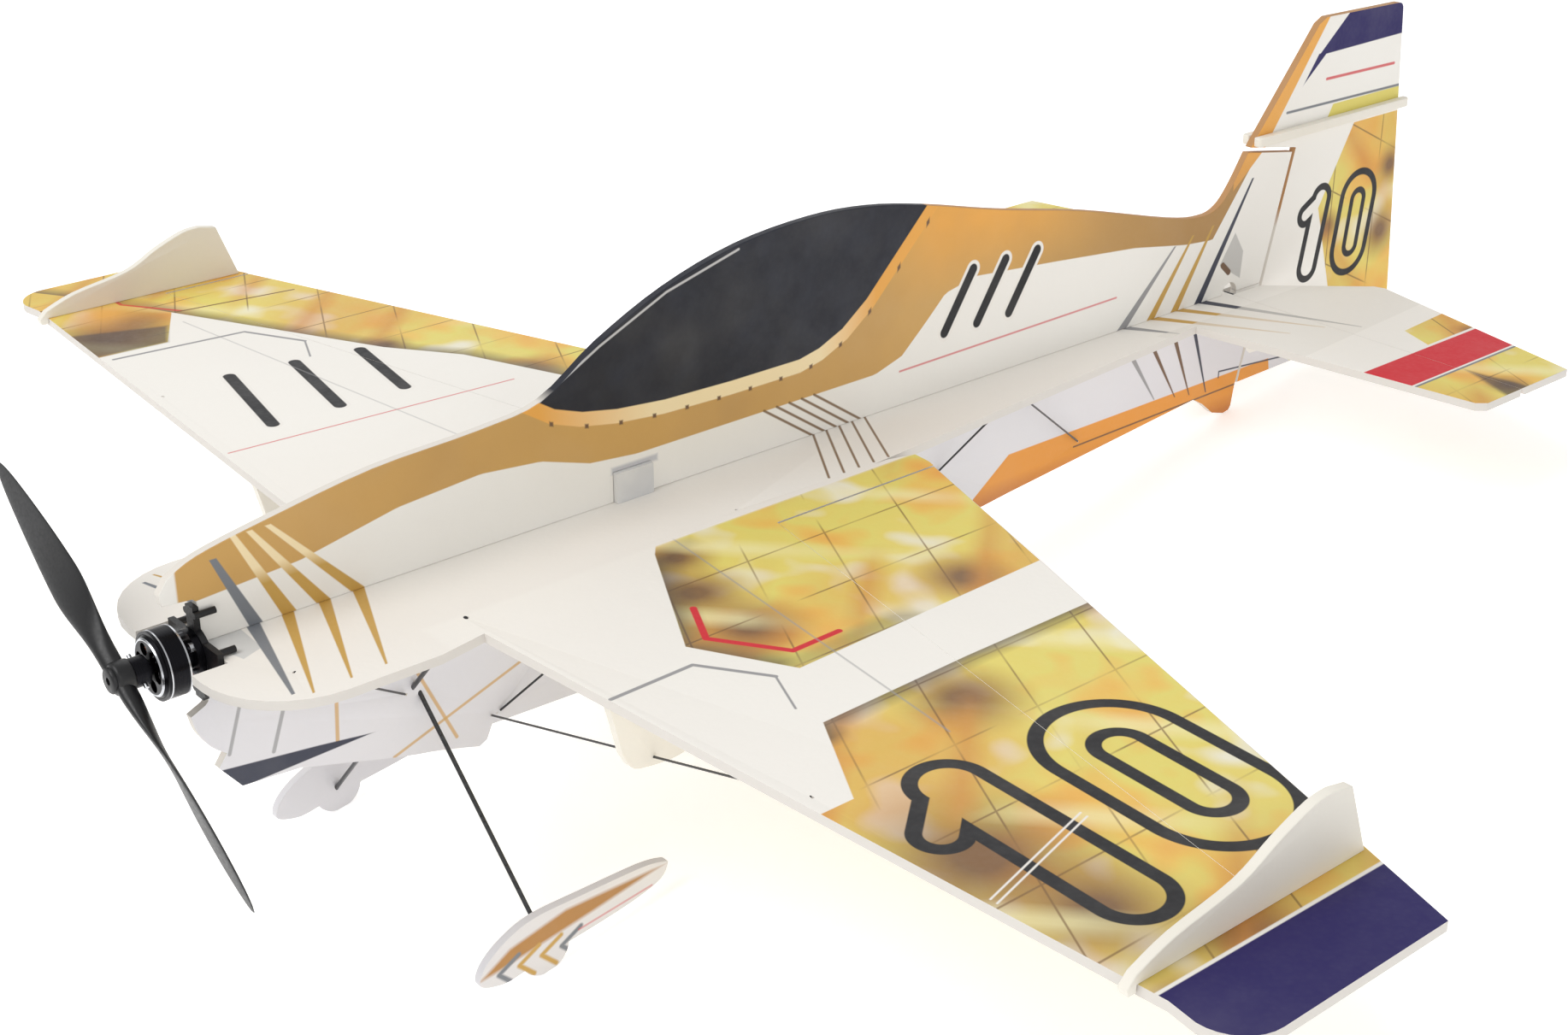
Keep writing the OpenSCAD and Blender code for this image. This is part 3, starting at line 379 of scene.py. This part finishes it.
# both sides of the upright profiles and the rudder
def printSide():
    finish = Finish("printedSide")
    x, y, z = finish.split(finish.level())
    page = Page(finish, y, z)
    face = finish.over(ink["white"], tint(241, 239, 233), finish.noise(9, 1))

    # tan band along the back, brighter behind the canopy
    under = page.graph([
        (14, 12), (30, 18), (75, 21), (120, 30), (160, 33), (190, 30), (215, 22), (240, 19.5), (380, 20), (397, 25),
        (412, 38), (425, 50), (445, 54), (500, 49), (560, 43), (600, 36), (622, 34), (655, 76), (700, 120)])
    tan = finish.over(ink["tan"], tint(160, 122, 74), finish.fit(page.u, 450, 600) * 0.7)
    bright = finish.fit(page.v, 48, 84) * finish.fit(page.u, 380, 420) * finish.fit(page.u, 560, 480)
    tan = finish.over(tan, ink["orange"], bright)
    behind = page.step(page.v - under) * finish.fit(page.u, 664, 656)
    tan = finish.over(tan, tint(172, 134, 84), finish.fit(finish.noise(14, 3), 0.4, 0.75) * 0.45)
    face = finish.over(face, tan, behind * finish.fit(page.u, 22, 23))
    # nose stripes, cream over the band and gold below it
    cream = finish.over(ink["gold"], ink["cream"], finish.fit(page.v, 16, 24))
    face = finish.over(face, ink["steel"], page.fill((51, -1), (57, -1), (40, 33), (37, 33)))
    for low, high in ((68.5, 47), (84, 54), (100, 62)):
        stripe = page.fill((low - 3, -1), (low + 3.4, -1), (high + 2, 40), (high - 0.6, 40))
        face = finish.over(face, cream, stripe)
    for k in range(5):
        stripe = page.stroke((312 + 7.5 * k, 20), (341 + 7.5 * k, 0), width=1.2)
        face = finish.over(face, ink["line"], stripe * 0.9)
    # tail chevrons
    chevrons = [(551, 592, 37, 4.4, "grey"), (574, 606, 40, 3.6, "gold"), (593, 622, 42, 3.6, "gold"),
                (612, 652, 62, 3.6, "slate")]
    for low, high, top, width, name in chevrons:
        stripe = page.fill((low - width / 2, -1), (low + width * 1.2, -1), (high + 0.8, top), (high - 0.8, top))
        face = finish.over(face, ink[name], stripe)
    # a plain mark behind the canopy in place of a name
    for start in (425, 447, 469):
        face = finish.over(face, ink["white"], page.stroke((start, 30), (start + 18, 58), width=9))
        face = finish.over(face, ink["black"], page.stroke((start, 30), (start + 18, 58), width=5.4))
    face = finish.over(face, ink["red"], page.stroke((396, 17.5), (548, 19), width=1) * 0.7)

    # canopy with its trim and dots
    canopy = page.inside((188, 58), (198, 51.5), (212, 46.5), (230, 43), (256, 40.5), (293, 39.5), (333, 39.5),
                         (345, 42), (359, 48), (374, 59), (412, 97), (400, 200), (240, 200))
    glass = page.step(canopy)
    trim = finish.over(ink["orange"], ink["cream"], finish.fit(page.u, 190, 250) * finish.fit(page.u, 380, 345))
    face = finish.over(face, trim, page.step(canopy + 6.5) * finish.fit(page.u, 176, 180))
    dots = finish.fit((page.u - 196).fold(9.0).most((canopy + 6.5).size()), 1.3, 0.6)
    dots = dots * finish.fit(page.u, 183, 186)
    face = finish.over(face, ink["brown"], dots)
    sheen = finish.over(ink["canopy"], tint(44, 48, 62), finish.fit(finish.noise(60, 2), 0.45, 0.8) * 0.5)
    face = finish.over(face, sheen, glass)
    gleam = page.stroke((190, 56.5), (222, 73.5), (258, 89.2), (298, 99.6), width=1.1)
    face = finish.over(face, tint(196, 196, 198), gleam * glass)

    # fin and rudder
    orangeEdge = page.inside((612, 46), (640, 50), (659, 76), (712, 118), (722, 142), (690, 150), (600, 60))
    face = finish.over(face, finish.over(tint(206, 150, 84), ink["orange"], finish.fit(page.v, 50, 80)),
                       page.step(orangeEdge.least(page.u - 636)))
    tile = tiles(page, 5.2, [(775, 46, 12), (772, 8, 16), (722, 20, 10)])
    tiled = page.fill((690, -6), (712, 33), (703, 60), (704, 77), (800, 77), (800, -60), (690, -60))
    face = finish.over(face, tile, tiled)
    face = finish.over(face, ink["yellow"], page.fill((712, 84), (800, 84), (800, 91), (716, 91)))
    face = finish.over(face, ink["steel"], page.stroke((676, 93), (790, 91.5), width=1.4))
    top = page.fill((699, 120), (800, 121.5), (800, 160), (747, 160))
    tail = page.fill((688, 106), (707, 121.5), (699, 121))
    face = finish.over(face, ink["navy"], top.most(tail))
    face = finish.over(face, ink["red"], page.stroke((708, 106), (768, 105), width=1.6) * 0.85)
    # outlined number
    face = finish.over(face, ink["white"], page.stroke((690, 20), (712, 20), width=10, soft=3) * 0.4)
    face = finish.over(face, ink["black"], page.loop((748, 32), (744, 4), 15, 4))
    face = finish.over(face, ink["black"], page.loop((748, 31), (745, 5), 5.4, 3.6))
    figure = (page.along((714, 38), (707, 0)) - 7).least(page.along((714, 38), (701, 31)) - 5)
    face = finish.over(face, ink["black"], finish.fit(figure.size(), 2.2, 1.8))
    # painted shade: a grey patch in the rudder's bevelled hinge gap
    hingeGapShade = page.fill((630, 18), (641, 34), (649, 22), (648, 7))
    face = finish.over(face, tint(196, 194, 190), hingeGapShade)
    face = finish.over(face, ink["brown"], page.stroke((632.5, 17.5), (638, 12.5), width=3.4))
    # servo window: a grey bar painted as the shade in the cut-out above the servo
    servoCutShade = page.fill((226, 13.4), (251, 13.4), (251, 16.4), (226, 16.4), soft=1.4)
    face = finish.over(face, tint(196, 196, 199), servoCutShade)

    # lower profile: grey in the shade of the wing, an orange foot and thin rules
    lower = finish.over(tint(214, 213, 218), tint(224, 222, 224), finish.noise(11, 1))
    for top, foot, width, name in (
            ((44, -28), (36, -52), 1.6, "grey"), ((62, -38), (55, -58), 1.8, "grey"),
            ((85, -42), (83.5, -66), 1.8, "tan"), ((121, -42), (140, -84), 1.6, "tan"),
            ((109, -82), (176, -59), 1.4, "tan")):
        lower = finish.over(lower, ink[name], page.stroke(top, foot, width=width) * 0.8)
    swoosh = page.fill((20, -55), (75, -63), (124, -69), (100, -70.5), (40, -68.5), (24, -69))
    lower = finish.over(lower, ink["slate"], swoosh)
    foot = page.inside((449, -65), (459, -49), (470, -47.5), (680, -47.5), (690, -100), (400, -100))
    orange = finish.over(ink["stripe"], tint(196, 122, 60), finish.fit(page.v, -60, -70))
    lower = finish.over(lower, orange, page.step(foot))
    for (headY, headZ), (endY, endZ), width, name in (
            ((561, -14), (584, -47), 4, "grey"), ((578, -13), (601, -50), 3.4, "brown"),
            ((596, -12), (613, -52), 3.4, "brown"), ((612, -11), (627, -54), 3, "slate")):
        stripe = page.fill((headY - width / 2, headZ), (headY + width / 2, headZ),
                           (endY + 0.4, endZ), (endY - 0.4, endZ))
        lower = finish.over(lower, ink[name], stripe)
    lower = finish.over(lower, ink["brown"], page.stroke((522, -57), (690, -55.2), width=0.9))
    lower = finish.over(lower, ink["slate"], page.stroke((637, -48), (637, -44.5), (703, -50.5), width=0.9))
    lower = finish.over(lower, ink["yellow"], page.fill((690, -48), (712, -46), (712, -53), (700, -54)) * 0.7)
    join = page.graph([(0, -2), (650, -2), (660, -40), (800, -44)])
    face = finish.over(lower, face, finish.fit(page.v - join, -0.2, 0.2))
    facing = finish.split(finish.normal)[0].size()
    back = finish.fit(page.u, 300, 320) * finish.fit(page.v, 30, 40)
    edge = finish.over(tint(220, 214, 205), tint(182, 136, 88), back)
    over = finish.fit(page.u, 190, 192) * finish.fit(page.u, 412, 410) * finish.fit(page.v, 56, 60)
    edge = finish.over(edge, ink["canopy"], over)
    finish.shader.inputs["Specular IOR Level"].default_value = 0.4
    return foamSurface(finish, face, edge, finish.fit(facing, 0.85, 0.93))


# wheel pants: a gold flash and dark arrows on the outer face
def printPant():
    finish = Finish("printedPant")
    x, y, z = finish.split(finish.level())
    page = Page(finish, y, z)
    face = finish.over(ink["shade"], ink["white"], finish.noise(12, 1))
    flash = page.inside((93, -143), (108, -134), (136, -127.5), (180, -127.5), (186, -128), (150, -134), (112, -141))
    face = finish.over(face, tint(178, 128, 66), page.step(flash, 2))
    for start, name in ((103, "steel"), (113, "gold"), (124, "gold"), (134, "steel")):
        arrow = page.stroke((start + 9, -138.5), (start - 1, -144), (start + 6, -151), width=2.2, soft=1)
        face = finish.over(face, ink[name], arrow)
    face = finish.over(face, ink["red"], page.stroke((142, -140), (180, -135), width=1) * 0.5)
    outer = (x.size() - 82) * finish.fit(finish.split(finish.normal)[0].size(), 0.8, 0.95)
    return foamSurface(finish, finish.over(ink["shade"], face, finish.fit(outer, 1.0, 1.6)))


def plainFoam():
    finish = Finish("whiteFoam")
    return foamSurface(finish, finish.over(tint(238, 234, 224), tint(226, 220, 206), finish.noise(14, 2)))


print("foam finishes")
topFoam, sideFoam, pantFoam, whiteFoam = printTop(), printSide(), printPant(), plainFoam()


# hard finishes

def carbonRod():
    finish = Finish("carbonRod", 0.34, Coat_Weight=0.3)
    drawn = finish.node("ShaderNodeMapping", {}, [finish.object, (0, 0, 0), (0.5, 0.2, 0.3), (1, 0.08, 1)])
    grain = finish.noise(900, 2, drawn)
    finish.set("Base Color", finish.ramp(grain, [(0.3, tint(16, 16, 18)), (0.7, tint(46, 46, 50))]))
    finish.set("Roughness", finish.fit(grain, 0.3, 0.7) * 0.2 + 0.26)
    finish.bump(grain, 0.2, 0.0001)
    return finish


def moulded(name, dark, light, roughness, scale=700, coat=0.0):
    finish = Finish(name, roughness, Coat_Weight=coat)
    grain = finish.noise(scale, 3)
    finish.set("Base Color", finish.ramp(finish.noise(40, 3), [(0.35, dark), (0.7, light)]))
    finish.set("Roughness", finish.fit(grain, 0.3, 0.7) * 0.14 + (roughness - 0.07))
    finish.bump(grain, 0.15, 0.00008)
    return finish


# turned metal: fine rings along the thrust line
def metal(name, dark, light, roughness):
    finish = Finish(name, roughness, Metallic=1.0)
    x, y, z = finish.split(finish.level())
    lines = finish.noise(5, 3, finish.join(0.0, y * 1.6, 0.0))
    finish.set("Base Color", finish.ramp(lines, [(0.35, dark), (0.65, light)]))
    finish.set("Roughness", finish.fit(lines, 0.3, 0.7) * 0.18 + (roughness - 0.09))
    finish.bump(lines, 0.12, 0.00005)
    return finish


def copperWire():
    finish = Finish("copperWire", 0.3, Metallic=1.0, Coat_Weight=0.6)
    stops = [(0.35, tint(150, 66, 28)), (0.7, tint(206, 112, 58))]
    finish.set("Base Color", finish.ramp(finish.noise(420, 2), stops))
    return finish


print("hard finishes")
carbon = carbonRod()
blackNylon = moulded("blackNylon", tint(9, 9, 11), tint(17, 17, 20), 0.42)
whiteNylon = moulded("whiteNylon", tint(226, 225, 218), tint(240, 239, 234), 0.38, coat=0.1)
greyCase = moulded("greyCase", tint(206, 206, 206), tint(222, 221, 218), 0.45)
sleeve = moulded("shrinkSleeve", tint(20, 20, 26), tint(38, 38, 46), 0.3, 160, 0.3)
cellWrap = moulded("cellWrap", tint(26, 34, 60), tint(44, 56, 92), 0.28, 90, 0.4)
hookPad = moulded("hookPad", tint(12, 12, 12), tint(30, 30, 30), 0.9, 1600)
anodised = metal("blackAnodised", tint(16, 16, 18), tint(44, 44, 48), 0.3)
steel = metal("brightSteel", tint(176, 178, 182), tint(222, 224, 228), 0.24)
lamination = metal("lamination", tint(70, 70, 74), tint(120, 120, 126), 0.45)
copper = copperWire()


# making pieces

def addPiece(name, mesh, body, finish, replaces=()):
    mesh.name = name
    piece = bpy.data.objects.new(name, mesh)
    scene.collection.objects.link(piece)
    mesh.materials.clear()
    mesh.materials.append(finish.material)
    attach(piece, body)
    if replaces:
        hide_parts(*replaces)
    return piece


# the mesh an object's modifiers give
def plainMesh(thing):
    bpy.context.view_layer.update()
    evaluated = thing.evaluated_get(bpy.context.evaluated_depsgraph_get())
    mesh = bpy.data.meshes.new_from_object(evaluated)
    bpy.data.objects.remove(thing)
    return mesh


hinges = [(Vector(j["pos_m"]), Vector(j["axis"])) for j in frame["joints"] if j["name"].endswith("_hinge")]


def nearHinge(point):
    return any((point - at).cross(axis.normalized()).length < 0.0004 for at, axis in hinges)


# a foam sheet with softly cut edges, from its CAD node
cutEdge = dict(radius=0.45, steps=2, sharp=35, smooth=20)


def foamSheet(node, body, finish):
    mesh = nodes[node].data.copy()
    shape = bmesh.new()
    shape.from_mesh(mesh)
    bmesh.ops.remove_doubles(shape, verts=shape.verts, dist=1e-6)
    bmesh.ops.dissolve_limit(shape, angle_limit=math.radians(0.4), verts=shape.verts, edges=shape.edges)
    weights = shape.edges.layers.float.new("bevel_weight_edge")
    for edge in shape.edges:
        middle = (edge.verts[0].co + edge.verts[1].co) / 2
        sharp = len(edge.link_faces) == 2 and edge.calc_face_angle(0) > math.radians(cutEdge["sharp"])
        edge[weights] = 1.0 if sharp and not nearHinge(middle) else 0.0
    shape.to_mesh(mesh)
    shape.free()
    draft = bpy.data.objects.new(node + "Draft", mesh)
    scene.collection.objects.link(draft)
    bevel = draft.modifiers.new("cut", "BEVEL")
    bevel.limit_method = "WEIGHT"
    bevel.width = cutEdge["radius"] / 1000
    bevel.segments = cutEdge["steps"]
    mesh = plainMesh(draft)
    mesh.shade_smooth()
    mesh.set_sharp_from_angle(angle=math.radians(cutEdge["smooth"]))
    return addPiece(node + "Foam", mesh, body, finish, [node])


print("foam sheets")
for node, body, finish in [
        ("fuselage_plate", "airframe", topFoam), ("wing_port", "airframe", topFoam),
        ("wing_starboard", "airframe", topFoam), ("aileron_port", "aileron_port", topFoam),
        ("aileron_starboard", "aileron_starboard", topFoam), ("elevator_port", "elevator", topFoam),
        ("elevator_starboard", "elevator", topFoam), ("lower_profile", "airframe", sideFoam),
        ("rudder", "rudder", sideFoam)]:
    foamSheet(node, body, finish)
foamSheet("upper_profile", "airframe", sideFoam)
for side in ("port", "starboard"):
    foamSheet("wheel_pant_" + side, "airframe", pantFoam)
    foamSheet("wing_fence_" + side, "airframe", whiteFoam)
    foamSheet("strut_web_" + side, "airframe", whiteFoam)
foamSheet("rudder_strips", "rudder", whiteFoam)

for names, finish in [
        (("spar_port", "spar_starboard", "leg_port", "leg_starboard", "leg_stays", "wing_braces", "plate_braces",
          "tail_braces", "elevator_joiner", "aileron_rod_port", "aileron_rod_starboard", "elevator_rod",
          "rudder_rod"), carbon),
        (("motor_mount",), blackNylon),
        (("motor_screws", "motor_bearings", "motor_magnets", "motor_shaft", "collar_screws"), steel),
        (("motor_base", "motor_bell", "propeller_collar"), anodised), (("motor_stator",), lamination),
        (("aileron_servo", "elevator_servo", "rudder_servo"), greyCase),
        (("aileron_servo_arm", "elevator_servo_arm", "rudder_servo_arm", "aileron_horn_port", "aileron_horn_starboard",
          "elevator_horn", "rudder_horn"), whiteNylon),
        (("speed_controller", "receiver"), sleeve), (("battery",), cellWrap), (("battery_pad",), hookPad)]:
    for name in names:
        nodes[name].data.materials.clear()
        nodes[name].data.materials.append(finish.material)


# propeller

blade = dict(radius=107.95, start=4, turn=32.4, y=-3.2, rings=48, sides=28, pitch=96, root=8,
             camber=0.018, taper=0.35)
hub = dict(front=-8, back=1, radius=6.6, boss=5.2, bore=1.5)


def bladeGrow(u):
    g = min(1, max(0, (u - 0.02) / 0.4))
    return g * g * (3 - 2 * g)


def bladeChord(u):
    return blade["root"] + bladeGrow(u) * (13 * math.sin(math.pi * u ** 0.85) - 0.5)


def bladeRing(k):
    u = min(0.999, k / (blade["rings"] - 1)) ** 0.9
    r = blade["start"] + u * (blade["radius"] - blade["start"])
    grow = bladeGrow(u)
    chord = bladeChord(u) * math.sqrt(1 - u ** 18) + 0.3
    thick = 1.1 + 4.2 * (1 - grow) ** 1.5 + 1.2 * (1 - u)
    thick *= math.sqrt(max(0.02, 1 - u ** 14))
    angle = min(math.radians(58), math.atan(blade["pitch"] / (2 * math.pi * max(r, 9))))
    ring = []
    for n in range(blade["sides"]):
        w = 2 * math.pi * n / blade["sides"]
        p = chord / 2 * math.cos(w)
        camber = blade["camber"] * chord * grow * math.sin(w) ** 2
        q = thick / 2 * math.sin(w) * (1 - blade["taper"] * math.cos(w) * grow) + camber
        ring.append(Matrix.Rotation(angle, 3, "Z") @ Vector((p, q, r)))
    return ring


# a closed outline turned about the thrust line
def lathe(shape, outline, sides=64):
    rings = []
    for y, r in outline:
        rings.append([shape.verts.new(place(r * math.cos(a), y, -thrustDrop + r * math.sin(a)))
                      for a in (2 * math.pi * k / sides for k in range(sides))])
    for a, b in zip(rings, rings[1:] + rings[:1]):
        for k in range(sides):
            shape.faces.new((a[k], a[(k + 1) % sides], b[(k + 1) % sides], b[k]))


def closeShape(shape, sharp):
    bmesh.ops.recalc_face_normals(shape, faces=shape.faces)
    mesh = bpy.data.meshes.new("shape")
    shape.to_mesh(mesh)
    shape.free()
    mesh.shade_smooth()
    mesh.set_sharp_from_angle(angle=math.radians(sharp))
    return mesh


def makePropeller():
    shape = bmesh.new()
    for a in (0, 180):
        turn = Matrix.Rotation(math.radians(a + blade["turn"] - 90), 4, "Y")
        rings = []
        for k in range(blade["rings"]):
            points = [turn @ p for p in bladeRing(k)]
            rings.append([shape.verts.new(place(p.x, p.y + blade["y"], p.z - thrustDrop)) for p in points])
        for one, two in zip(rings, rings[1:]):
            for n in range(blade["sides"]):
                m = (n + 1) % blade["sides"]
                shape.faces.new((one[n], one[m], two[m], two[n]))
        shape.faces.new(rings[0][::-1])
        shape.faces.new(rings[-1])
    front, back, r = hub["front"], hub["back"], hub["radius"]
    boss, bore = hub["boss"], hub["bore"] + 0.1
    lathe(shape, [(front, bore), (front, boss - 0.5), (front + 0.5, boss), (front + 1.6, boss),
                  (front + 1.8, r - 0.7), (front + 2.3, r - 0.15), (front + 3, r), (back - 0.8, r),
                  (back - 0.2, r - 0.2), (back, r - 0.7), (back, bore)])
    return addPiece("propellerMoulding", closeShape(shape, 50), "rotor", blackNylon, ["propeller"])


print("propeller")
makePropeller()


# motor

motor = dict(bell=8.5, length=11, radius=14, teeth=12, turns=6, wire=0.7, toothFrom=6.9, toothTo=9.3, slotW=2.6,
             slotL=7.4, middle=7)


# copper windings: one filleted loop of wire, repeated along a tooth and round the stator
def windingTree(finish):
    tree = bpy.data.node_groups.new("windings", "GeometryNodeTree")
    face = tree.interface
    face.new_socket("Geometry", in_out="OUTPUT", socket_type="NodeSocketGeometry")
    inputs = {}
    for name, kind, key in [
            ("Teeth", "Int", "teeth"), ("Turns", "Int", "turns"), ("Wire", "Float", "wire"),
            ("Width", "Float", "slotW"), ("Length", "Float", "slotL"), ("From", "Float", "toothFrom"),
            ("To", "Float", "toothTo")]:
        inputs[name] = face.new_socket(name, in_out="INPUT", socket_type="NodeSocket" + kind)
        inputs[name].default_value = motor[key]

    def node(kind, values, out=0, **settings):
        made = tree.nodes.new(kind)
        for key, value in settings.items():
            setattr(made, key, value)
        for key, value in values.items():
            if isinstance(value, bpy.types.NodeSocket):
                tree.links.new(value, made.inputs[key])
            else:
                made.inputs[key].default_value = value
        return made.outputs[out] if made.outputs else made

    given = tree.nodes.new("NodeGroupInput").outputs
    outline = node("GeometryNodeCurvePrimitiveQuadrilateral", {"Width": given["Width"], "Height": given["Length"]})
    fillet = node("GeometryNodeFilletCurve", {"Curve": outline, "Count": 3, "Radius": 0.9}, mode="POLY")
    half = node("ShaderNodeMath", {0: given["Wire"], 1: 2}, operation="DIVIDE")
    section = node("GeometryNodeCurvePrimitiveCircle", {"Resolution": 8, "Radius": half})
    wire = node("GeometryNodeCurveToMesh", {"Curve": fillet, "Profile Curve": section})
    start = node("ShaderNodeCombineXYZ", {"Z": given["From"]})
    end = node("ShaderNodeCombineXYZ", {"Z": given["To"]})
    row = node("GeometryNodeMeshLine", {"Count": given["Turns"], "Start Location": start, "Offset": end},
               mode="END_POINTS")
    coil = node("GeometryNodeInstanceOnPoints", {"Points": row, "Instance": wire})
    # a zero-size line has one point for each tooth
    heads = node("GeometryNodeMeshLine", {"Count": given["Teeth"], "Offset": (0, 0, 0)})
    index = node("GeometryNodeInputIndex", {})
    share = node("ShaderNodeMath", {0: index, 1: given["Teeth"]}, operation="DIVIDE")
    turn = node("ShaderNodeMath", {0: share, 1: 2 * math.pi}, operation="MULTIPLY")
    angle = node("ShaderNodeCombineXYZ", {"Y": turn})
    spread = node("GeometryNodeInstanceOnPoints", {"Points": heads, "Instance": coil, "Rotation": angle})
    real = node("GeometryNodeRealizeInstances", {0: spread})
    paint = node("GeometryNodeSetMaterial", {"Geometry": real, "Material": finish.material})
    node("NodeGroupOutput", {0: paint})
    return tree, inputs


def makeWindings():
    tree, inputs = windingTree(copper)
    draft = bpy.data.objects.new("windingsDraft", bpy.data.meshes.new("windingsDraft"))
    scene.collection.objects.link(draft)
    modifier = draft.modifiers.new("windings", "NODES")
    modifier.node_group = tree
    modifier[inputs["Turns"].identifier] = motor["turns"]
    mesh = plainMesh(draft)
    middle = Matrix.Translation((0, motor["bell"] + motor["middle"], -thrustDrop))
    mesh.transform(levelToRow @ middle)
    mesh.shade_smooth()
    return addPiece("copperWindings", mesh, "airframe", copper, ["motor_windings"])


# bright rims turned on the bell
def makeRims():
    shape = bmesh.new()
    r, y, rimSides = motor["radius"], motor["bell"], 96
    lathe(shape, [(y - 0.02, r - 3.1), (y - 0.12, r - 2.7), (y + 0.5, r - 2.2), (y + 0.7, r - 2.4),
                  (y + 0.4, r - 3.2)], rimSides)
    lathe(shape, [(y + 2.6, r - 0.3), (y + 2.75, r + 0.04), (y + 3.3, r + 0.08), (y + 3.5, r - 0.3)], rimSides)
    end = y + motor["length"]
    lathe(shape, [(end - 0.8, r - 0.3), (end - 0.7, r + 0.08), (end, r + 0.02), (end + 0.02, r - 0.9),
                  (end - 0.3, r - 0.9)], rimSides)
    return addPiece("bellRims", closeShape(shape, 40), "rotor", steel)


print("motor")
makeWindings()
makeRims()


# camera, floor and light

view = dict(at=(735.86, -305.16, 417.97), azimuth=49.40, elevation=25.20, lens=52.7182, sensor=36)


def addCamera():
    data = bpy.data.cameras.new("camera")
    data.sensor_width = view["sensor"]
    data.lens = view["lens"]
    data.clip_start, data.clip_end = 0.05, 30
    camera = bpy.data.objects.new("camera", data)
    scene.collection.objects.link(camera)
    a, e = math.radians(view["azimuth"]), math.radians(view["elevation"])
    back = Vector((math.sin(a) * math.cos(e), -math.cos(a) * math.cos(e), math.sin(e)))
    right = Vector((math.cos(a), math.sin(a), 0))
    top = back.cross(right)
    turn = levelToRow.to_3x3() * 1000
    axes = [turn @ v for v in (right, top, back)]
    camera.matrix_world = Matrix.Translation(place(*view["at"])) @ Matrix(
        [[axes[c][r] for c in range(3)] for r in range(3)]).to_4x4()
    scene.camera = camera


def addFloor():
    finish = Finish("paleFloor", 0.7)
    stops = [(0.3, tint(250, 250, 250)), (0.7, tint(254, 254, 254))]
    finish.set("Base Color", finish.ramp(finish.noise(2, 2), stops))
    finish.shader.inputs["Emission Color"].default_value = (1, 1, 1, 1)
    finish.shader.inputs["Emission Strength"].default_value = 0.35
    bpy.ops.mesh.primitive_plane_add(size=30)
    floor = bpy.context.object
    floor.name = "floor"
    floor.data.materials.append(finish.material)


def addLight(name, at, size, power):
    data = bpy.data.lights.new(name, "AREA")
    data.size = size
    data.energy = power
    lamp = bpy.data.objects.new(name, data)
    lamp.location = at
    lamp.rotation_euler = Vector(at).to_track_quat("Z", "Y").to_euler()
    scene.collection.objects.link(lamp)


print("stage")
addCamera()
addFloor()
addLight("key", (-0.4, -1.5, 2.6), 1.8, 42)
addLight("fill", (2.4, -0.8, 1.4), 2.0, 12)
addLight("rim", (-2.0, 1.6, 1.8), 2.0, 10)
world = bpy.data.worlds.new("studio")
scene.world = world
world.use_nodes = True
background = world.node_tree.nodes["Background"]
background.inputs["Color"].default_value = (1, 1, 1, 1)
background.inputs["Strength"].default_value = 0.58
scene.view_settings.view_transform = "Standard"
